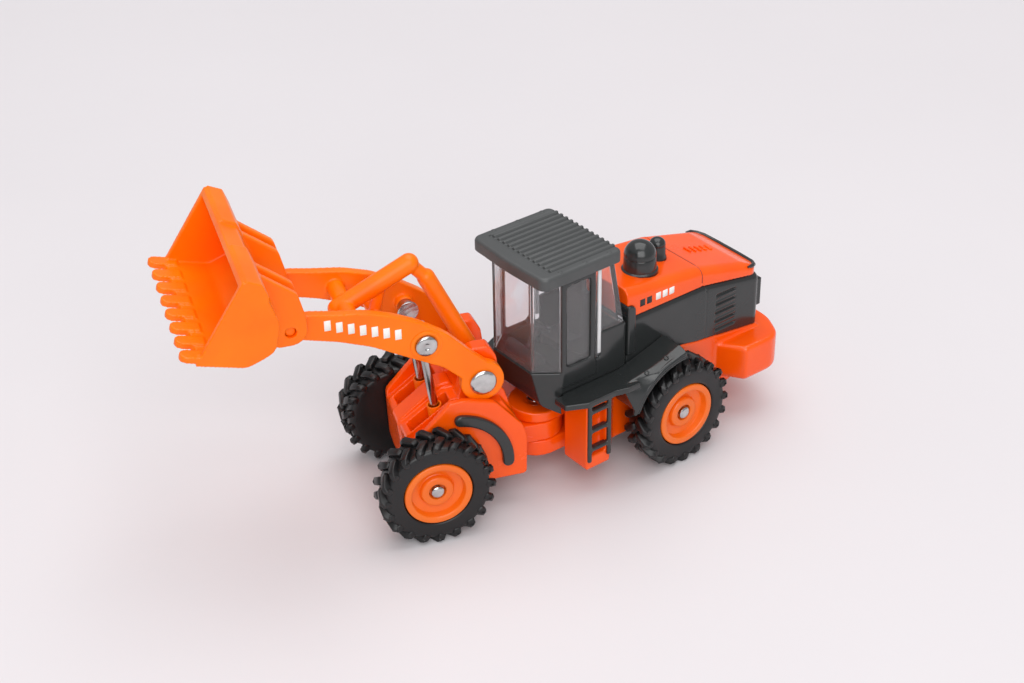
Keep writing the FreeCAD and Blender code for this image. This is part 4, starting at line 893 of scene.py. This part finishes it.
# ---- rear half --------------------------------------------
@dataclass
class RearBody:
    """Painted casting, grey mouldings and hood of the rear half."""

    half: HalfFrame
    nodes: dict
    flange: float = 1.12  # radius of a cap's flange against its wall
    slat_size: Point = (3.66, 0.34, 0.38)
    louvre_start: Point = (-27.8, 6.02, 14.48)
    louvre_step: Point = (0, 0, 0.66)
    louvre_count: int = 8
    arch_centre: Point = (-16.4, 10.62, 7.5)
    arch_radius: float = 8.85
    arch_steps: int = 24
    bead_radius: float = 0.42
    bead_end: float = 0.25
    raised_start: Point = (-26.2, 0, 23.93)
    raised_step: Point = (-0.95, 0, -0.27)
    print_step: Point = (-1.15, 0, -0.03)
    strip_left: tuple = (
        (-31.6, 6.16, 21.9), (-32.4, 6.05, 21.75), (-33.2, 5.6, 21.5), (-33.75, 4.7, 21.3),
        (-33.85, 2.0, 21.28),
    )
    dimples: tuple = ((-13.9, 9.9), (-10.6, 9.9))
    seam_centre: Point = (-23.3, 0, 23.0)
    seam_radius: float = 0.1
    seam_steps: int = 48

    def castings(self) -> None:
        """Put softened copies of the castings and mouldings on the rear body."""
        plan = [
            ("rear_chassis", Softness(0.16, 9, 0.3), CHASSIS_ENAMEL, "chassis_paint"),
            ("engine_housing", Softness(0.12, 3, 0.4), GREY_ABS, "grey_plastic"),
            ("hood", Softness(0.12, 2, 0.35), CHASSIS_ENAMEL, "chassis_paint"),
            ("fender_deck", Softness(0.13, 3, 0.4), GREY_ABS, "grey_plastic"),
        ]
        for node, soft, finish, slot in plan:
            piece = show_cast(self.nodes, node, "_cast", soft, finish, "rear")
            if node == "fender_deck":
                self.fender_dimples(piece)
            if node == "hood":
                self.hood_seam(piece)
        show_softened(self.nodes, "rear_base_plate", "_moulded", 0.1, BLACK_ABS, "rear")

    def dome(self, name: str, node: str) -> None:
        """Turn one cap of the hood: flange, tapered wall and overhanging round top.

        Args:
            name: Name of the piece.
            node: CAD node that it stands for.
        """
        low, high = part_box(node)
        centre = (low + high) / 2
        radius = (high.x - low.x) / 2 / MM / self.flange
        height = (high.z - low.z) / MM
        crease = height - radius * 0.98
        profile = [
            (0.0, 0.0), (radius * self.flange, 0.0), (radius * self.flange, 0.62), (radius * 1.02, 0.78),
            (radius * 0.99, crease - 0.12), (radius * 0.955, crease), (radius * 1.0, crease + 0.12),
        ]
        top = height - crease - 0.12
        for step in range(1, 11):
            turn = math.pi / 2 * step / 11
            profile.append((radius * math.cos(turn), crease + 0.12 + top * math.sin(turn)))
        profile.append((0.0, crease + 0.12 + top))
        stand = Matrix.Translation((centre.x, centre.y, low.z)) @ Matrix.Rotation(math.pi / 2, 4, "X")
        mesh = moved(revolved(name, profile, 64, closed=False), stand @ Matrix.Scale(MM, 4))
        show(name, mesh, GREY_ABS, "rear", (node,))

    def louvres(self) -> None:
        """Slats of the side grilles, on both sides."""
        slat = rounded_box("slat", self.slat_size, 0.12)
        count, start, step = self.louvre_count, self.louvre_start, self.louvre_step
        left = repeated("slats", slat, Repeat.ROW, count, GREY_ABS, start, step)
        mesh = moved(both_sides("side_louvres", left), self.half.matrix())
        show("side_louvres", mesh, GREY_ABS, "rear")

    def fender_beads(self) -> None:
        """Rolled bead that follows each rear arch at its outer edge."""
        path, ups, sections = [], [], []
        for i in range(self.arch_steps + 1):
            turn = math.radians(20 + 72 * i / self.arch_steps)
            outward = Vector((math.cos(turn), 0, math.sin(turn)))
            path.append(Vector(self.arch_centre) + outward * self.arch_radius)
            ups.append(outward)
            size = self.bead_radius if 0 < i < self.arch_steps else self.bead_end
            sections.append(oval(size * 1.05, size))
        mesh = both_sides("fender_beads", swept("bead", path, ups, sections))
        show("fender_beads", moved(mesh, self.half.matrix()), GREY_ABS, "rear")

    def hood_marks(self) -> None:
        """Short raised bars on the rear of the hood and plain printed bars on its sides."""
        place = self.half.matrix()
        bar = rounded_box("bar", (0.34, 1.5, 0.2), 0.08)
        start, step = self.raised_start, self.raised_step
        bars = repeated("hood_bars", bar, Repeat.ROW, 5, CHASSIS_ENAMEL, start, step)
        show("hood_raised_bars", moved(bars, place), CHASSIS_ENAMEL, "rear")
        mark = rounded_box("mark", (0.85, 0.06, 1.0), 0.02, 1)
        for name, count, x, finish in (("dark", 2, -12.9, PRINT_BLACK), ("white", 3, -15.6, PRINT_WHITE)):
            left = repeated("marks", mark, Repeat.ROW, count, finish, (x, 6.2, 23.55), self.print_step)
            mesh = moved(both_sides("hood_marks", left), place)
            show("hood_" + name + "_print_bars", mesh, finish, "rear")

    def hood_strip(self) -> None:
        """Grey strip that edges the rear of the hood, thinner at its ends."""
        path = [Vector(point) for point in self.strip_left]
        path += [Vector((p.x, -p.y, p.z)) for p in reversed(path)]
        sections = [oval(size, size) for size in [0.12] + [0.3] * (len(path) - 2) + [0.12]]
        mesh = swept("hood_rear_strip", path, [Vector((0, 0, 1))] * len(path), sections)
        show("hood_rear_strip", moved(mesh, self.half.matrix()), GREY_ABS, "rear")

    def hood_seam(self, hood: Object) -> None:
        """Dark orange line of painted shade along the fine seam across the hood, laid on its surface from
        side to side.

        Args:
            hood: Visible piece of the hood.
        """
        surface = surface_of(hood)
        place = self.half.matrix()
        path, ups = [], []
        for step in range(self.seam_steps + 1):
            turn = math.radians(-4 + 188 * step / self.seam_steps)
            outward = Vector((0, math.cos(turn), math.sin(turn)))
            start = place @ (Vector(self.seam_centre) + 14 * outward)
            spot, normal = surface.ray_cast(start, -outward)[:2]
            path.append(place.inverted() @ spot)
            ups.append(normal)
        section = oval(self.seam_radius, self.seam_radius, -0.4 * self.seam_radius, 10)
        mesh = swept("hood_seam", path, ups, [section] * len(path))
        # The line's dark orange is painted shade, standing for the shade in the bottom of the seam.
        show("hood_seam", moved(mesh, place), SEAM_PAINTED_SHADE, "rear")

    def fender_dimples(self, deck: Object) -> None:
        """Round rivet marks on both fenders, laid on the surface below them.

        Args:
            deck: Visible piece of the fenders.
        """
        surface = surface_of(deck)
        button = revolved("button", DIMPLE, 24, closed=False)
        place = self.half.matrix()
        marks = []
        for side in Side:
            for x, y in self.dimples:
                start = place @ Vector((x, y * side.value, 40))
                spot, normal = surface.ray_cast(start, Vector((0, 0, -1)))[:2]
                turn = Vector((0, 1, 0)).rotation_difference(normal).to_matrix().to_4x4()
                marks.append(
                    moved(button.copy(), Matrix.Translation(spot) @ turn @ Matrix.Scale(MM, 4))
                )
        mesh = merged("fender_dimples", marks)
        show("fender_dimples", mesh, GREY_ABS, "rear")

    def build(self) -> None:
        """Make every piece of the rear half but the cab and the wheels."""
        self.castings()
        self.dome("air_intake_cap", "air_intake")
        self.dome("exhaust_cap", "exhaust_stack")
        self.louvres()
        self.fender_beads()
        self.hood_marks()
        self.hood_strip()
        show_softened(self.nodes, "steering_rivet", "_head", 0.12, PIN_STEEL, "rear")


@dataclass
class Cab:
    """Tub, glazing, roof and furniture of the cab."""

    half: HalfFrame
    nodes: dict
    dot_count: int = 3
    dot_inset: float = 0.62
    rib_count: int = 12
    roof_border: float = 1.2
    edge_size: Point = (0.52, 0.3, 12.6)
    edge_place: Point = (-5.5, 6.34, 25.3)

    def roof(self) -> tuple[float, float, Matrix]:
        """Length and width of the roof in millimetres and the place of the middle of its top."""
        low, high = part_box("cab_roof")
        place = Matrix.Translation(((low.x + high.x) / 2, (low.y + high.y) / 2, high.z - 0.1 * MM))
        return (high.x - low.x) / MM, (high.y - low.y) / MM, place @ Matrix.Scale(MM, 4)

    def roof_dots(self) -> None:
        """Sunk dots along both borders of the roof."""
        length, width, top = self.roof()
        button = revolved("button", DIMPLE, 24, closed=False)
        button.transform(Matrix.Rotation(math.pi / 2, 4, "X"))
        rows = []
        for side in Side:
            start = (length / 2 - 3.4, (width / 2 - self.dot_inset) * side.value, 0)
            step = (-length * 0.3, 0, 0)
            name = "roof_dots_" + side.word
            rows.append(repeated(name, button, Repeat.ROW, self.dot_count, ROOF_ABS, start, step))
        show("roof_dots", moved(merged("roof_dots", rows), top), ROOF_ABS, "rear")

    def roof_ribs(self) -> None:
        """Ribs along the roof's sunk panel, open at its rear edge."""
        length, width, top = self.roof()
        panel = width - 2 * self.roof_border
        pitch = panel / self.rib_count
        rib = rounded_box("rib", (length - 2.55, pitch * 0.5, 0.5), 0.2, 4)
        start, step = (-1.22, -(panel - pitch) / 2, -0.06), (0, pitch, 0)
        ribs = repeated("ribs", rib, Repeat.ROW, self.rib_count, ROOF_ABS, start, step)
        show("roof_ribs", moved(merged("roof_ribs", [ribs]), top), ROOF_ABS, "rear")

    def clear_edges(self) -> None:
        """Thick clear edges of the glazing behind both doors, made milky white as a painted highlight of the
        bright reflection along each door pillar.
        """
        edge = rounded_box("edge", self.edge_size, 0.1, 2)
        edge.transform(Matrix.Translation(self.edge_place))
        mesh = moved(both_sides("glazing_edges", edge), self.half.matrix())
        # Milky white strips: painted highlight of the reflection along the door pillars, on a real thick
        # edge of the glazing.
        show("glazing_edges", mesh, CLEAR_EDGE_PAINTED_HIGHLIGHT, "rear")

    def build(self) -> None:
        """Make the cab's pieces."""
        plan = [
            ("cab_body", Softness(0.13, 3, 0.35), GREY_ABS, "grey_plastic"),
            ("cab_roof", Softness(0.085, 2, 0.4), ROOF_ABS, "roof_plastic"),
            ("cab_interior", Softness(0.16, 4, 0.3), BLACK_ABS, "dark_plastic"),
            ("steering_wheel", Softness(0.06, 2, 0.3), BLACK_ABS, "dark_plastic"),
        ]
        for node, soft, finish, slot in plan:
            show_cast(self.nodes, node, "_moulded", soft, finish, "rear")
        show_softened(self.nodes, "cab_window", "_moulded", 0.2, GLAZING, "rear")
        self.roof_dots()
        self.roof_ribs()
        self.clear_edges()


# ---- front half -------------------------------------------
@dataclass
class FrontBody:
    """Painted front casting with its fender strips and the rivet of the lift arms."""

    half: HalfFrame
    nodes: dict
    pivot: Point = (8.7, 0, 19.2)
    arm_outer: float = 6.0
    head_radius: float = 1.72

    def boom_rivet(self) -> None:
        """Large steel rivet of the lift arms, domed at both ends."""
        out, head = self.arm_outer + 0.1, self.head_radius
        tip = [(0.9, out), (head - 0.08, out), (head, out + 0.1), (head - 0.03, out + 0.2)]
        for step in range(1, 9):
            turn = math.pi / 2 * step / 8
            radius = (head - 0.05) * math.cos(turn) if step < 8 else 0.0
            tip.append((radius, out + 0.2 + 0.38 * math.sin(turn)))
        mesh = revolved("boom_rivet", double_ended(tip), 56, closed=False)
        mesh = moved(mesh, self.half.matrix() @ Matrix.Translation(self.pivot))
        show("boom_rivet_domed", mesh, PIN_STEEL, "front", ("boom_pin",))

    def build(self) -> None:
        """Make every piece of the front half but the wheels."""
        nodes, paint = self.nodes, "chassis_paint"
        show_cast(nodes, "front_frame", "_cast", Softness(0.14, 5, 0.35), CHASSIS_ENAMEL, "front")
        show_softened(nodes, "front_base_plate", "_moulded", 0.1, BLACK_ABS, "front")
        for side in Side:
            strip, soft = "fender_trim_" + side.word, Softness(0.08, 4, 0.5)
            show_cast(nodes, strip, "_moulded", soft, GREY_ABS, "front")
        self.boom_rivet()


@dataclass
class LiftArms:
    """Arms and tilt linkage in one moulding, with the lift rivets, rods and guides."""

    half: HalfFrame
    nodes: dict
    pivot: Point = (15.8, 0, 26.1)
    arm_outer: float = 6.0
    rivet_radius: float = 1.38
    mark_count: int = 7
    mark_size: Point = (0.8, 0.06, 1.4)
    mark_start: Point = (19.2, 6.0, 28.3)
    mark_step: Point = (1.43, 0, 0.5)

    def rivets(self) -> None:
        """Domed steel rivets of the lift rods, each in a raised ring of the arm."""
        head, out = self.rivet_radius, self.arm_outer
        tip = [
            (0.0, out + 0.1), (head, out + 0.1), (head, out + 0.3), (head - 0.05, out + 0.42),
            (head - 0.16, out + 0.5), (head * 0.62, out + 0.58), (head * 0.42, out + 0.57),
            (head * 0.3, out + 0.5), (head * 0.2, out + 0.42), (0.0, out + 0.4),
        ]
        boss = beside(head, out, [
            (0.06, -0.05), (0.62, -0.05), (0.6, 0.12), (0.45, 0.2), (0.2, 0.2), (0.06, 0.1),
        ])
        place = self.half.matrix() @ Matrix.Translation(self.pivot)
        for side in Side:
            node = "lift_pin_" + side.word
            show_softened(self.nodes, node, "_shaft", 0.06, PIN_STEEL, "boom")
            dome = revolved(node + "_dome", tip, 48, closed=False)
            ring = revolved(node + "_ring", boss, 48)
            if side is Side.RIGHT:
                dome, ring = mirrored(dome), mirrored(ring)
            show(node + "_dome", moved(dome, place), PIN_STEEL, "boom")
            show(node + "_boss_ring", moved(ring, place), ARM_PLASTIC, "boom")

    def print_marks(self) -> None:
        """Plain printed bars along the outside of both arms."""
        bar = rounded_box("bar", self.mark_size, 0.02, 1)
        count, start, step = self.mark_count, self.mark_start, self.mark_step
        left = repeated("bars", bar, Repeat.ROW, count, PRINT_WHITE, start, step)
        mesh = moved(both_sides("arm_print_bars", left), self.half.matrix())
        show("arm_print_bars", mesh, PRINT_WHITE, "boom")

    def build(self) -> None:
        """Make the arms, rivets, rods and guides."""
        soft = Softness(0.13, 5, 0.4)
        show_cast(self.nodes, "boom", "_moulded", soft, ARM_PLASTIC, "boom")
        self.print_marks()
        self.rivets()
        for side in Side:
            rod, guide = "lift_rod_" + side.word, "lift_guide_" + side.word
            show_softened(self.nodes, rod, "_plated", 0.06, ROD_STEEL, rod)
            show_softened(self.nodes, guide, "_sleeve", 0.05, ARM_PLASTIC, guide)


@dataclass
class Bucket:
    """Bucket moulding with its teeth."""

    nodes: dict
    soft: Softness = Softness(0.13, 4, 0.4)

    def build(self) -> None:
        """Make the bucket."""
        show_cast(self.nodes, "bucket", "_moulded", self.soft, ARM_PLASTIC, "bucket")


# ---- studio -----------------------------------------------
@dataclass
class Studio:
    """Pale floor, soft light and the camera."""

    half: HalfFrame
    look_at: Point = (-6.56, -13.26, 10.59)
    azimuth: float = 52.66
    elevation: float = 32.38
    roll: float = -0.94
    distance: float = 267.4
    lens: float = 68.7
    sensor: float = 36.0
    floor_size: float = 3.0
    paper: Finish = Finish(
        "studio_paper", "#dbd7d9", "#d9d5d7", Grain.SPARK, 0.5, 0.004, (0.7, 0.85), patch_size=60.0
    )
    room_colour: str = "#f5f3f7"
    room_strength: float = 0.45
    # Name, place in metres from the loader, size in metres and watts of each lamp.
    lamps: tuple = (
        ("overhead_softbox", (-0.1, -0.1, 0.8), 0.8, 4.6),
        ("left_softbox", (0.3, 0.5, 0.45), 0.6, 3.4),
    )

    def camera(self) -> None:
        """Place the camera."""
        turn, rise, roll = (math.radians(a) for a in (self.azimuth, self.elevation, self.roll))
        back = Vector((math.cos(turn) * math.cos(rise), math.sin(turn) * math.cos(rise), math.sin(rise)))
        right = Vector((0, 0, 1)).cross(back).normalized()
        up = back.cross(right)
        rolled_right = right * math.cos(roll) + up * math.sin(roll)
        rolled_up = up * math.cos(roll) - right * math.sin(roll)
        place = self.half.origin + Vector(self.look_at) * MM + back * self.distance * MM
        data = bpy.data.cameras.new("view")
        data.lens, data.sensor_width = self.lens, self.sensor
        data.clip_start, data.clip_end = 0.005, 20.0
        columns = [rolled_right, rolled_up, back]
        turned = Matrix([[column[row] for column in columns] for row in range(3)]).to_4x4()
        view = linked_object("view", data)
        view.matrix_world = Matrix.Translation(place) @ turned
        bpy.context.scene.camera = view

    def floor(self) -> None:
        """Lay a pale, slightly uneven floor."""
        work = bmesh.new()
        bmesh.ops.create_grid(work, x_segments=4, y_segments=4, size=self.floor_size)
        piece = finished_object("studio_floor", plain_mesh("studio_floor", work), self.paper)

    def light(self) -> None:
        """Set the softboxes and the even light of the room."""
        for name, place, size, watts in self.lamps:
            data = bpy.data.lights.new(name, "AREA")
            data.shape, data.size, data.energy = "SQUARE", size, watts
            lamp = linked_object(name, data)
            lamp.location = place
            lamp.rotation_euler = (-Vector(place)).to_track_quat("-Z", "Y").to_euler()
        world = bpy.data.worlds.new("room")
        world.use_nodes = True
        sky = world.node_tree.nodes["Background"].inputs
        sky["Color"].default_value = linear(self.room_colour)
        sky["Strength"].default_value = self.room_strength
        bpy.context.scene.world = world
        bpy.context.scene.view_settings.view_transform = "Standard"

    def build(self) -> None:
        """Set up the whole studio."""
        self.floor()
        self.light()
        self.camera()


def wheels(frame: dict) -> list[Wheel]:
    """One wheel for each spin joint.


    Returns:
        The four wheels, unbuilt.
    """
    made = []
    for end in ("rear", "front"):
        for side in Side:
            joint = joint_named(frame, f"{end}_wheel_spin_{side.word}")
            outward = Vector(joint["axis"]) * side.value
            turn = math.atan2(-outward.x, outward.y)
            place = Matrix.Translation(Vector(joint["pos_m"])) @ Matrix.Rotation(turn, 4, "Z")
            made.append(Wheel(
                place @ Matrix.Scale(MM, 4), f"{end}_wheel_{side.word}", f"{end}_rim_{side.word}",
                f"{end}_tyre_{side.word}",
            ))
    return made


def main() -> None:
    """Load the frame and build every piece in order."""
    logging.basicConfig(level=logging.INFO, format="%(name)s: %(message)s")
    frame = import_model()
    rear, front = rear_frame(frame), front_frame(frame)
    nodes = frame["nodes"]
    RearBody(rear, nodes).build()
    Cab(rear, nodes).build()
    FrontBody(front, nodes).build()
    LiftArms(front, nodes).build()
    Bucket(nodes).build()
    for wheel in wheels(frame):
        wheel.build()
    Axle(rear, -16.4, "rear", "rear_axle").build()
    Axle(front, 16.4, "front", "front_axle").build()
    Studio(rear).build()


if __name__ == "__main__":
    main()
